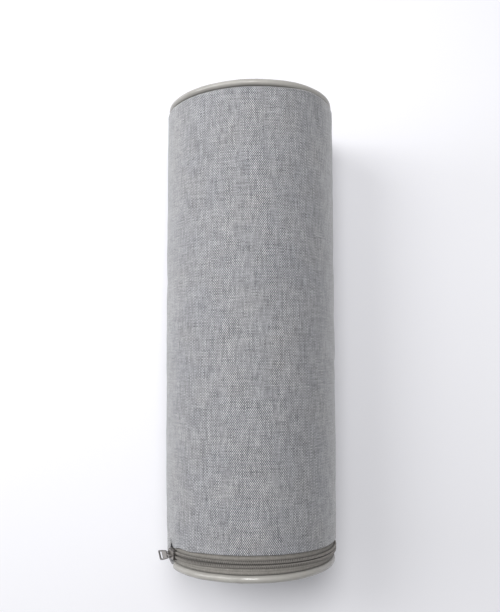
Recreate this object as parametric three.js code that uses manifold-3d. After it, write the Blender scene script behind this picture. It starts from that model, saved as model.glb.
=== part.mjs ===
// A mini bolster: a firm little roll in a linen-look sleeve, lying on its side. A coil zip runs
// round one end, between the sleeve and the piped end disc, and is drawn closed.
//
// Millimetres, +Z up. The roll's axis runs along Y, its plain end towards +Y and its zip end
// towards -Y, and the slider sits on the -X side. The origin is on the underside, below the
// roll's middle, where it rests on its small flat.
//
// Every cloth piece is first made as it is sewn: round and straight, about the Y axis. Then
// settled() lays it down, with the flat, the waves of its two rims and its soft dents.
import * as THREE from "three";
import { mergeVertices } from "three/addons/utils/BufferGeometryUtils.js";
import Module from "manifold-3d";

const wasm = await Module();
wasm.setup();

// The roll. Distances along it are from its middle, and turns are in degrees round it, 0 on the
// +X side and 90 on top.
const ROLL_RADIUS = 76; // a 152 mm roll
const AXIS_HEIGHT = 73.6; // it sinks 2.4 mm, onto a flat about 30 mm wide
const FLOOR_EASE = 1.6; // the flat eases off until the round roll stands this high off the floor
const PIPING_PLANE = 201; // from the middle to each piping cord's centre
const CORD_RADIUS = 3.05;
const GAP = 0.3; // between pieces that meet
const TURN_STEPS = 64;
const CORD_SIDES = 8;

// Where the sleeve ends, under the piping, and the dome of filling behind each end disc
const SLEEVE_END = 197.3;
const SLEEVE_RUN_END = 192; // the plain end's shoulder begins a little past this
const DOME_EDGE = 199.3;
const DOME_CROWN = 4;
const DOME_RINGS = [0, 0.6, 1]; // shares of its radius
const DISC_THICKNESS = 1.3;
const DISC_EDGE_GAP = 0.5;
const SEAM_LEDGE = 0.9; // from the filling's dome out to the foot of the sleeve's shoulder

// The sleeve's rounded shoulder: how far inside its radius and short of its end each point lies
const SHOULDER = [
  { inside: 2.6, short: 0.1 },
  { inside: 1.0, short: 1.1 },
  { inside: 0.2, short: 2.8 },
];

// The zip, named from the sleeve towards the end
const SLEEVE_EDGE = 182.5; // the sleeve's folded edge, along the zip
const TAPE_TUCK = 6.5; // how far the sleeve's tape runs on under that edge
const ZIP_LINE = 189.5; // where the two coil rows meet
const COIL_WIDTH = 3;
const TAPE_END = 197.1;
const CHANNEL_FLOOR = 71.9; // radii, from the filling outwards
const TAPE_INSIDE = 72.2;
const TAPE_OUTSIDE = 73.2;
const COIL_INSIDE = 73.5;
const COIL_OUTSIDE = 75.3;
const LIP_INSIDE = 73.5;
const CHANNEL_TURNS = { from: -52, to: 157.5 };
const TAPE_TURNS = { from: -51.5, to: 154.6 };

// How each rim stands off a flat plane, as waves round it, in mm towards +Y
const PLAIN_RIM_WAVES = [
  { waves: 1, cosine: -0.23, sine: 0 },
  { waves: 2, cosine: 0.15, sine: 2.44 },
  { waves: 3, cosine: 0.82, sine: 0 },
];
const ZIP_RIM_WAVES = [
  { waves: 1, cosine: -1.84, sine: 0 },
  { waves: 2, cosine: -0.68, sine: 1.97 },
  { waves: 3, cosine: 0.71, sine: 0 },
];
const ZIP_LINE_WAVES = [
  { waves: 0, cosine: -0.5, sine: 0 },
  { waves: 2, cosine: -1.55, sine: 0 },
];

// The two ends: how far each draws the sleeve in, and its piping's radius
const PLAIN_END = { side: 1, drawnIn: 0, pipingRadius: 72, waves: PLAIN_RIM_WAVES };
const ZIP_END = { side: -1, drawnIn: 1.1, pipingRadius: 71.2, waves: ZIP_RIM_WAVES };
const CROWN_REACH = 193; // where the crown has fallen by the whole of drawnIn
const WAVES_FADE = 110; // the rims' waves have died out this near the middle

// Shallow dents in the sleeve: where each lies, its half lengths along and round, and its depth
const DENTS = [
  { along: 152, turn: 92, alongReach: 12, roundReach: 30, depth: 0.9 },
  { along: 176, turn: 42, alongReach: 24, roundReach: 9, depth: 1.6 },
  { along: 92, turn: 113, alongReach: 10, roundReach: 14, depth: 0.5 },
  { along: 50, turn: 97, alongReach: 10, roundReach: 16, depth: 0.7 },
  { along: 34, turn: 66, alongReach: 10, roundReach: 14, depth: 0.6 },
  { along: -32, turn: 122, alongReach: 9, roundReach: 20, depth: 0.6 },
  { along: -48, turn: 78, alongReach: 11, roundReach: 32, depth: 1.0 },
  { along: -101, turn: 55, alongReach: 10, roundReach: 20, depth: 0.8 },
  { along: -123, turn: 94, alongReach: 14, roundReach: 34, depth: 1.1 },
];
// The pinch in the end seam, where the zip stops and the piping's two ends cross
const PINCH = { turn: 166, turnReach: 11, depth: 1.8, starts: 150, full: 185 };

// The slider and its pull. x runs along the zip, towards the open end, and z outwards.
const SLIDER_TURN = 151.5;
const SLIDER = {
  length: 11.4,
  shoulderWidth: 8.7,
  tailWidth: 7.6,
  height: 3.5,
  tunnelWidth: 6.7,
  tunnelHeight: 2.2,
  shoulderCorner: 1.4,
  tailCorner: 1,
  flareEnds: 2.2, // from the middle, where the body is as wide as its shoulders
  edge: 0.4,
};
const BRIDGE = { halfLength: 4.4, leg: 1.2, width: 1.4, opening: 2.4, thickness: 0.8 };
const PULL = {
  length: 22,
  neckWidth: 5.6,
  shoulderWidth: 7.1,
  endWidth: 8.2,
  thickness: 1,
  bar: 0.6,
  eyeWidth: 4,
  eyeEnd: 4.4,
  neckEnd: 3.6, // from the bar, where the neck widens to the shoulders
  shoulder: 6.2,
  slotStart: 14.6,
  slotEnd: 20.2,
  slotWidth: 5.9,
  corner: 1.6,
  eyeCorner: 0.4,
  slotCorner: 1,
};
const PULL_BAR_X = 0.8; // the pull's bar lies under the middle of the bridge
const PULL_LEAN = { lift: 1, lean: 16, twist: -9.5 }; // degrees

const radians = THREE.MathUtils.degToRad;
const smooth = (value, from, to) => THREE.MathUtils.smoothstep(value, from, to);

// Sums a table of waves at a turn round the roll.
function wave(table, turn) {
  return table.reduce(
    (sum, row) =>
      sum + row.cosine * Math.cos(row.waves * turn) + row.sine * Math.sin(row.waves * turn),
    0,
  );
}

// The sleeve's outer radius, before dents, at a distance along the roll.
function sleeveRadius(along) {
  const end = along > 0 ? PLAIN_END : ZIP_END;
  return ROLL_RADIUS - end.drawnIn * Math.min(1, (along / CROWN_REACH) ** 2);
}

// The angle between two turns, in degrees from -180 to 180.
function turnBetween(turn, centre) {
  return THREE.MathUtils.euclideanModulo(turn - centre + 180, 360) - 180;
}

// How deep the sleeve is dented at a place.
function dentDepth(along, turnDegrees) {
  return DENTS.reduce((sum, dent) => {
    const off = (along - dent.along) / dent.alongReach;
    const round = radians(turnBetween(turnDegrees, dent.turn)) * ROLL_RADIUS;
    return sum + dent.depth * Math.exp(-(off ** 2) - (round / dent.roundReach) ** 2);
  }, 0);
}

// How far the zip end is pinched in at a place.
function pinchDepth(along, turnDegrees) {
  const off = turnBetween(turnDegrees, PINCH.turn) / PINCH.turnReach;
  return PINCH.depth * Math.exp(-(off ** 2)) * smooth(-along, PINCH.starts, PINCH.full);
}

// How far the waves of the rims and of the zip shift a place towards +Y. The rims lie straight
// along the underside.
function waveShift(along, turn) {
  const showing = smooth(Math.sin(turn), -0.8, 0.1);
  if (along > 0) {
    return showing * wave(PLAIN_END.waves, turn) * smooth(along, WAVES_FADE, SLEEVE_END);
  }
  const toZip = smooth(-along, WAVES_FADE, SLEEVE_EDGE);
  const toRim = smooth(-along, ZIP_LINE + COIL_WIDTH, SLEEVE_END);
  const zip = wave(ZIP_LINE_WAVES, turn) * toZip;
  return showing * THREE.MathUtils.lerp(zip, wave(ZIP_END.waves, turn), toRim);
}

// The height that the floor leaves to a point of the roll's surface, easing onto the flat.
function eased(height) {
  if (height > FLOOR_EASE) return height;
  if (height < -FLOOR_EASE) return 0;
  return (height + FLOOR_EASE) ** 2 / (4 * FLOOR_EASE);
}

// Lays a round, straight piece on its side. rim(along) is the radius that meets the floor there.
function settled(geometry, rim) {
  const place = geometry.getAttribute("position");
  for (let i = 0; i < place.count; i++) {
    const along = place.getY(i);
    const across = place.getX(i);
    const up = place.getZ(i);
    const radius = Math.hypot(across, up);
    const turn = Math.atan2(up, across);
    const degrees = THREE.MathUtils.radToDeg(turn);
    const outside = rim(along);
    const share = Math.min(1, (radius / outside) ** 4);
    const pushedIn = dentDepth(along, degrees) + pinchDepth(along, degrees);
    const height = AXIS_HEIGHT + (outside - pushedIn) * Math.sin(turn);
    const lifted = turn < 0 ? (eased(height) - height) / -Math.sin(turn) : 0;
    const laid = radius - share * (pushedIn + lifted);
    place.setXYZ(
      i,
      laid * Math.cos(turn),
      along + waveShift(along, turn) * Math.min(1, radius / outside),
      AXIS_HEIGHT + laid * Math.sin(turn),
    );
  }
  return geometry;
}

// A closed ring or body of revolution about Y, from [radius, along] points. A profile that
// doesn't start and end on the axis is closed on itself.
function turned(profile) {
  const onAxis = profile[0][0] === 0;
  const points = (onAxis ? profile : [...profile, profile[0]]).map(([r, a]) => new THREE.Vector2(r, a));
  return new THREE.LatheGeometry(points, TURN_STEPS);
}

// A slice of the roll between two turns, as a wedge that reaches past every piece.
function wedge({ from, to }) {
  const reach = 2 * ROLL_RADIUS;
  const halfLength = PIPING_PLANE + 2 * CORD_RADIUS;
  const outline = new THREE.Shape();
  outline.moveTo(0, 0);
  outline.lineTo(reach * Math.cos(radians(from)), reach * Math.sin(radians(from)));
  outline.absarc(0, 0, reach, radians(from), radians(to));
  const slice = new THREE.ExtrudeGeometry(outline, {
    depth: 2 * halfLength,
    bevelEnabled: false,
    curveSegments: 24,
  });
  slice.translate(0, 0, -halfLength);
  return slice.rotateX(Math.PI / 2);
}

// A geometry as a manifold-3d solid, with its vertices merged and collapsed faces dropped.
function solid(geometry) {
  const bare = new THREE.BufferGeometry();
  bare.setAttribute("position", geometry.getAttribute("position"));
  bare.setIndex(geometry.getIndex());
  const merged = mergeVertices(bare, 1e-4);
  const corners = merged.getIndex().array;
  const kept = [];
  for (let i = 0; i < corners.length; i += 3) {
    const [a, b, c] = corners.slice(i, i + 3);
    if (a !== b && b !== c && c !== a) kept.push(a, b, c);
  }
  return new wasm.Manifold(
    new wasm.Mesh({
      numProp: 3,
      vertProperties: merged.getAttribute("position").array,
      triVerts: new Uint32Array(kept),
    }),
  );
}

// A manifold-3d solid as a geometry.
function geometryOf(body) {
  const mesh = body.getMesh();
  const geometry = new THREE.BufferGeometry();
  geometry.setAttribute("position", new THREE.BufferAttribute(mesh.vertProperties.slice(), 3));
  geometry.setIndex(new THREE.BufferAttribute(mesh.triVerts.slice(), 1));
  return geometry;
}

const cut = (from, ...tools) =>
  geometryOf(tools.reduce((left, tool) => left.subtract(solid(tool)), solid(from)));
const shared = (a, b) => geometryOf(solid(a).intersect(solid(b)));
const joined = (...parts) =>
  geometryOf(parts.slice(1).reduce((whole, part) => whole.add(solid(part)), solid(parts[0])));

// The dome of an end, as [radius, along] points from its centre out to its edge.
function dome(end, lift, edgeRadius) {
  return DOME_RINGS.map((share) => [
    share * edgeRadius,
    end.side * (DOME_EDGE + lift + DOME_CROWN * (1 - share ** 2)),
  ]);
}

// The radius of the filling's dome, just inside the piping.
const domeRadius = (end) => end.pipingRadius - CORD_RADIUS - 2 * GAP;

// The sleeve's turn into an end seam, as [radius, along] points from the dome outwards.
function shoulder(end) {
  const radius = ROLL_RADIUS - end.drawnIn;
  const rounded = SHOULDER.map(({ inside, short }) => [radius - inside, end.side * (SLEEVE_END - short)]);
  return [[domeRadius(end) + GAP + SEAM_LEDGE, end.side * SLEEVE_END], ...rounded];
}

// The filled sleeve, with the channel that the zip lies in.
function filledSleeve() {
  const runSteps = 17;
  const run = Array.from({ length: runSteps + 1 }, (_, i) => {
    const along = THREE.MathUtils.lerp(-SLEEVE_EDGE, SLEEVE_RUN_END, i / runSteps);
    return [sleeveRadius(along), along];
  });
  const body = turned([
    ...dome(ZIP_END, 0, domeRadius(ZIP_END)),
    ...shoulder(ZIP_END),
    ...run,
    ...shoulder(PLAIN_END).reverse(),
    ...dome(PLAIN_END, 0, domeRadius(PLAIN_END)).reverse(),
  ]);
  const open = SLEEVE_END + 2;
  const tucked = SLEEVE_EDGE - TAPE_TUCK;
  const channel = turned([
    [CHANNEL_FLOOR, -open],
    [2 * ROLL_RADIUS, -open],
    [2 * ROLL_RADIUS, -SLEEVE_EDGE],
    [LIP_INSIDE, -SLEEVE_EDGE],
    [LIP_INSIDE, -tucked],
    [CHANNEL_FLOOR, -tucked],
  ]);
  return settled(cut(body, shared(channel, wedge(CHANNEL_TURNS))), sleeveRadius);
}

// A strip that lies round the zip end, from the [radius, along] points of its section.
function zipStrip(section) {
  return settled(shared(turned(section), wedge(TAPE_TURNS)), sleeveRadius);
}

function zipTape(from, to) {
  return zipStrip([
    [TAPE_INSIDE, -to],
    [TAPE_OUTSIDE, -to],
    [TAPE_OUTSIDE, -from],
    [TAPE_INSIDE, -from],
  ]);
}

// One row of the coil, as a strip with a rounded back.
function zipCoil(from, to) {
  const flank = THREE.MathUtils.lerp(COIL_INSIDE, COIL_OUTSIDE, 0.6);
  const inset = (to - from) / 4;
  return zipStrip([
    [COIL_INSIDE, -to],
    [flank, -to],
    [COIL_OUTSIDE, -to + inset],
    [COIL_OUTSIDE, -from - inset],
    [flank, -from],
    [COIL_INSIDE, -from],
  ]);
}

// The piping cord of one end.
function piping(end) {
  const ring = new THREE.TorusGeometry(end.pipingRadius, CORD_RADIUS, CORD_SIDES, TURN_STEPS);
  ring.rotateX(Math.PI / 2);
  ring.translate(0, end.side * PIPING_PLANE, 0);
  return settled(ring, () => end.pipingRadius + CORD_RADIUS);
}

// The cloth disc of one end: a sheet over the dome of filling.
function endDisc(end) {
  const radius = end.pipingRadius - CORD_RADIUS - DISC_EDGE_GAP;
  const inner = dome(end, GAP, radius);
  const outer = dome(end, GAP + DISC_THICKNESS, radius);
  const profile = end.side > 0 ? [...inner, ...outer.reverse()] : [...outer, ...inner.reverse()];
  return settled(turned(profile), () => end.pipingRadius + CORD_RADIUS);
}

// A plain block between two corners.
function block(low, high) {
  const size = high.map((value, i) => value - low[i]);
  const middle = high.map((value, i) => (value + low[i]) / 2);
  return new THREE.BoxGeometry(...size).translate(...middle);
}

// The slider: a plate with two flanges over the coil, wide at the shoulders where the rows part,
// and a bridge on top that holds the pull.
function slider() {
  const half = SLIDER.length / 2;
  const wide = SLIDER.shoulderWidth / 2;
  const narrow = SLIDER.tailWidth / 2;
  const flare = SLIDER.flareEnds;
  const front = half - SLIDER.shoulderCorner;
  const back = half - SLIDER.tailCorner;
  const outline = new THREE.Shape();
  outline.moveTo(-back, -narrow);
  outline.quadraticCurveTo(0, -narrow, flare, -wide);
  outline.lineTo(front, -wide);
  outline.quadraticCurveTo(half, -wide, half, -wide / 2);
  outline.lineTo(half, wide / 2);
  outline.quadraticCurveTo(half, wide, front, wide);
  outline.lineTo(flare, wide);
  outline.quadraticCurveTo(0, narrow, -back, narrow);
  outline.quadraticCurveTo(-half, narrow, -half, narrow / 2);
  outline.lineTo(-half, -narrow / 2);
  outline.quadraticCurveTo(-half, -narrow, -back, -narrow);
  const plate = new THREE.ExtrudeGeometry(outline, {
    depth: SLIDER.height - 2 * SLIDER.edge,
    bevelSize: SLIDER.edge,
    bevelOffset: -SLIDER.edge,
    bevelThickness: SLIDER.edge,
    bevelSegments: 1,
    curveSegments: 4,
  }).translate(0, 0, SLIDER.edge);
  const tunnelHalf = SLIDER.tunnelWidth / 2;
  const tunnel = block([-half - 1, -tunnelHalf, -1], [half + 1, tunnelHalf, SLIDER.tunnelHeight]);
  const foot = SLIDER.height - 0.2;
  const ceiling = SLIDER.height + BRIDGE.opening;
  const side = BRIDGE.width / 2;
  const reach = BRIDGE.halfLength;
  const arch = block([-reach, -side, foot], [reach, side, ceiling + BRIDGE.thickness]);
  const clear = reach - BRIDGE.leg;
  const under = block([-clear, -side - 1, SLIDER.height], [clear, side + 1, ceiling]);
  return joined(cut(plate, tunnel), cut(arch, under));
}

// A rectangle with rounded corners, drawn onto a shape or as a hole.
function roundedRectangle(path, [x0, y0], [x1, y1], corner) {
  path.moveTo(x0 + corner, y0);
  path.lineTo(x1 - corner, y0);
  path.quadraticCurveTo(x1, y0, x1, y0 + corner);
  path.lineTo(x1, y1 - corner);
  path.quadraticCurveTo(x1, y1, x1 - corner, y1);
  path.lineTo(x0 + corner, y1);
  path.quadraticCurveTo(x0, y1, x0, y1 - corner);
  path.lineTo(x0, y0 + corner);
  path.quadraticCurveTo(x0, y0, x0 + corner, y0);
  return path;
}

// The pull: a tapered plate, its eye round the bridge's leg and a slot near its free end.
function pull() {
  const neck = PULL.neckWidth / 2;
  const shoulder = PULL.shoulderWidth / 2;
  const end = PULL.endWidth / 2;
  const tip = PULL.length;
  const outline = new THREE.Shape();
  outline.moveTo(-PULL.bar, -neck);
  outline.lineTo(PULL.neckEnd, -neck);
  outline.lineTo(PULL.shoulder, -shoulder);
  outline.lineTo(PULL.slotStart, -end);
  outline.lineTo(tip - PULL.corner, -end);
  outline.quadraticCurveTo(tip, -end, tip, -end + PULL.corner);
  outline.lineTo(tip, end - PULL.corner);
  outline.quadraticCurveTo(tip, end, tip - PULL.corner, end);
  outline.lineTo(PULL.slotStart, end);
  outline.lineTo(PULL.shoulder, shoulder);
  outline.lineTo(PULL.neckEnd, neck);
  outline.lineTo(-PULL.bar, neck);
  const eye = new THREE.Path();
  const eyeHalf = PULL.eyeWidth / 2;
  roundedRectangle(eye, [PULL.bar, -eyeHalf], [PULL.eyeEnd, eyeHalf], PULL.eyeCorner);
  const slot = new THREE.Path();
  const slotHalf = PULL.slotWidth / 2;
  roundedRectangle(slot, [PULL.slotStart, -slotHalf], [PULL.slotEnd, slotHalf], PULL.slotCorner);
  outline.holes.push(eye, slot);
  return new THREE.ExtrudeGeometry(outline, {
    depth: PULL.thickness,
    bevelEnabled: false,
    curveSegments: 4,
  }).translate(0, 0, -PULL.thickness / 2);
}

// Materials
const finish = (color, roughness, metalness = 0) =>
  new THREE.MeshStandardMaterial({ color, roughness, metalness });
const LINEN = 0x9c9ca0;
const PIPING_GREY = 0xb2afa8;
const TAPE_TAUPE = 0x87827d;
const COIL_TAUPE = 0x716b66;
const METAL_TAUPE = 0x9a908c;

const bolster = new THREE.Group();

function place(name, geometry, material, parent = bolster) {
  const mesh = new THREE.Mesh(geometry, material);
  mesh.name = name;
  parent.add(mesh);
  return mesh;
}

place("filled_sleeve", filledSleeve(), finish(LINEN, 0.95));
place("end_disc_plain", endDisc(PLAIN_END), finish(LINEN, 0.95));
place("end_disc_zip", endDisc(ZIP_END), finish(LINEN, 0.95));
place("piping_plain", piping(PLAIN_END), finish(PIPING_GREY, 0.35));
place("piping_zip", piping(ZIP_END), finish(PIPING_GREY, 0.35));

const rowGap = GAP / 2;
const tapeStart = SLEEVE_EDGE - TAPE_TUCK + GAP;
const coilStart = ZIP_LINE - COIL_WIDTH;
place("zip_tape_sleeve", zipTape(tapeStart, ZIP_LINE - rowGap), finish(TAPE_TAUPE, 0.9));
place("zip_tape_end", zipTape(ZIP_LINE + rowGap, TAPE_END), finish(TAPE_TAUPE, 0.9));
place("zip_coil_sleeve", zipCoil(coilStart, ZIP_LINE - rowGap), finish(COIL_TAUPE, 0.5));
place("zip_coil_end", zipCoil(ZIP_LINE + rowGap, ZIP_LINE + COIL_WIDTH), finish(COIL_TAUPE, 0.5));

// The slider stands on the tapes, with x on round the roll and z outwards.
const seat = new THREE.Group();
const seatTurn = radians(SLIDER_TURN);
const seatRadius = TAPE_OUTSIDE + GAP - pinchDepth(-ZIP_LINE, SLIDER_TURN);
const outwards = new THREE.Vector3(Math.cos(seatTurn), 0, Math.sin(seatTurn));
const onwards = new THREE.Vector3(-Math.sin(seatTurn), 0, Math.cos(seatTurn));
const sideways = new THREE.Vector3().crossVectors(outwards, onwards);
seat.quaternion.setFromRotationMatrix(new THREE.Matrix4().makeBasis(onwards, sideways, outwards));
seat.position.copy(outwards).multiplyScalar(seatRadius);
seat.position.y = -ZIP_LINE + waveShift(-ZIP_LINE, seatTurn);
seat.position.z += AXIS_HEIGHT;
bolster.add(seat);
place("zip_slider", slider(), finish(METAL_TAUPE, 0.4, 0.6), seat);

const tab = place("zip_pull", pull(), finish(METAL_TAUPE, 0.4, 0.6), seat);
tab.position.set(PULL_BAR_X, 0, SLIDER.height + BRIDGE.opening / 2);
tab.rotation.set(radians(PULL_LEAN.twist), -radians(PULL_LEAN.lift), radians(PULL_LEAN.lean), "ZYX");

export default bolster;
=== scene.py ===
"""The looks of a mini bolster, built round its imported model.

A firm little roll lies on its side in a linen-look sleeve. Its two ends are piped, and a coil
zip runs round one of them, drawn closed by a slider with a slotted pull.

The roll's axis runs along Y, with the plain end towards +Y. A place on it is a radius from the
axis, a turn round it in degrees (0 on the +X side, 90 on top) and a distance along it from the
middle. Sizes are in millimetres, and a piece becomes metres where it is placed.
"""

import logging
import math
import random
from dataclasses import dataclass, field
from enum import Enum
from typing import Callable, Iterable, Sequence

import bmesh
import bpy
from mathutils import Matrix, Vector, noise


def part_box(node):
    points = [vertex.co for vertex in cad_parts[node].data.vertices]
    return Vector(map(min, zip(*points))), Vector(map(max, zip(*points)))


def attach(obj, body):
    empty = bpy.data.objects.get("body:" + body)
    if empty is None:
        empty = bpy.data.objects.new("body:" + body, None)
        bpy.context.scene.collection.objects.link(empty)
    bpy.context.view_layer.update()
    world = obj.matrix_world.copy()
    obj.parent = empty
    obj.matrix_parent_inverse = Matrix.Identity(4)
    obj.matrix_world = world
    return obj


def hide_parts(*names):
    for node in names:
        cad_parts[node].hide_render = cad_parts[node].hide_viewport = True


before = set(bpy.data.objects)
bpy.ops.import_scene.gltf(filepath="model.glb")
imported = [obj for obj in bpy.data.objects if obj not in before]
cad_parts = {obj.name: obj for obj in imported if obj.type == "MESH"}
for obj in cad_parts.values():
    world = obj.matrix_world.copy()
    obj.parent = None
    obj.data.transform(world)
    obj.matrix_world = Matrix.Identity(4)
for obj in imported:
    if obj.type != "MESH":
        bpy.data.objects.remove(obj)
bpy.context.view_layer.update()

MM = 0.001
CLOTH_MAP = "Cloth"  # every cloth piece's UV map: its flat shape, in metres
BAKE_MAP = "OFBake"  # the same flat shape, filling a unit square
MERGE = 1e-6  # metres
LOG = logging.getLogger("bolster")

Shape = bmesh.types.BMesh
Piece = bpy.types.Object
Material = bpy.types.Material
Socket = bpy.types.NodeSocket
Colour = tuple[float, float, float]
Pair = tuple[float, float]
Span = tuple[float, float]  # from, to
Spot = tuple[float, float]  # a radius, and a distance along the roll
Step = tuple[int, int]  # a column and a row
Place = Callable[[int, int], Vector]
Flat = Callable[[int, int], Pair]


def smooth_step(value: float, low: float, high: float) -> float:
    """Eases from 0 at low to 1 at high."""
    share = min(1.0, max(0.0, (value - low) / (high - low)))
    return share * share * (3 - 2 * share)


def blended(first: float, second: float, share: float) -> float:
    """Goes from first at share 0 to second at share 1."""
    return first + (second - first) * share


def bell(off: float) -> float:
    """1 in the middle, and nearly nothing two reaches off to either side."""
    return math.exp(-off * off)


def turn_between(turn: float, centre: float) -> float:
    """The angle from one turn to another, from -180 to 180 degrees."""
    return (turn - centre + 180) % 360 - 180


def turn_of(across: float, up: float) -> float:
    """The turn at which a point beside and above the axis lies."""
    return math.degrees(math.atan2(up, across))


# ---------------------------------------------------------------------------- the roll's form


@dataclass(frozen=True)
class Swell:
    """Soft unevenness round the roll.

    Depth is about the most it rises or falls. Grain is the size of its swells round the roll,
    as a share of the radius, and stretch their size along it. Seed moves the pattern, so that
    two of them differ.
    """

    depth: float
    grain: float
    stretch: float = 1.0
    seed: float = 0.0

    def at(self, turn: float, along: float = 0.0) -> float:
        """How high it is at a place. It closes on itself after a whole turn.

        Args:
            turn: Round the roll, in degrees.
            along: From the roll's middle.

        Returns:
            Its height.
        """
        angle = math.radians(turn)
        across, up = math.cos(angle) / self.grain, math.sin(angle) / self.grain
        return self.depth * noise.noise(Vector((across, up, along / self.stretch + self.seed)))


@dataclass(frozen=True)
class Bump:
    """A rise at one turn of the roll, with its half length in degrees."""

    turn: float
    reach: float
    height: float

    def at(self, turn: float) -> float:
        """How high it is at a turn."""
        return self.height * bell(turn_between(turn, self.turn) / self.reach)


@dataclass(frozen=True)
class Wave:
    """One wave round a rim: how many to a turn, and its height towards +Y."""

    count: int
    cosine: float
    sine: float = 0.0

    def at(self, turn: float) -> float:
        """The wave's height at a turn."""
        angle = math.radians(turn) * self.count
        return self.cosine * math.cos(angle) + self.sine * math.sin(angle)


@dataclass(frozen=True)
class Dent:
    """A shallow dent in the sleeve, with its half lengths along and round the roll.

    It has faded away faded half lengths from its middle.
    """

    along: float
    turn: float
    along_reach: float
    round_reach: float
    depth: float
    faded: float = 3.0

    def at(self, along: float, turn: float, radius: float) -> float:
        """How deep it is at a place on a roll of this radius.

        Args:
            along: From the roll's middle.
            turn: Round the roll, in degrees.
            radius: The roll's radius.

        Returns:
            Its depth.
        """
        off = (along - self.along) / self.along_reach
        if abs(off) > self.faded:
            return 0.0
        round_off = math.radians(turn_between(turn, self.turn)) * radius
        return self.depth * bell(off) * bell(round_off / self.round_reach)


@dataclass(frozen=True)
class End:
    """One end of the roll: which way it faces, its piping and the radius of the piping's cord."""

    side: int
    drawn_in: float
    piping_radius: float
    waves: tuple[Wave, ...]
    cord: float = 3.05

    @property
    def rim(self) -> float:
        """The piping's outer radius."""
        return self.piping_radius + self.cord

    def wave(self, turn: float) -> float:
        """How far this end's rim stands off a flat plane at a turn."""
        return sum(wave.at(turn) for wave in self.waves)


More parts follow.
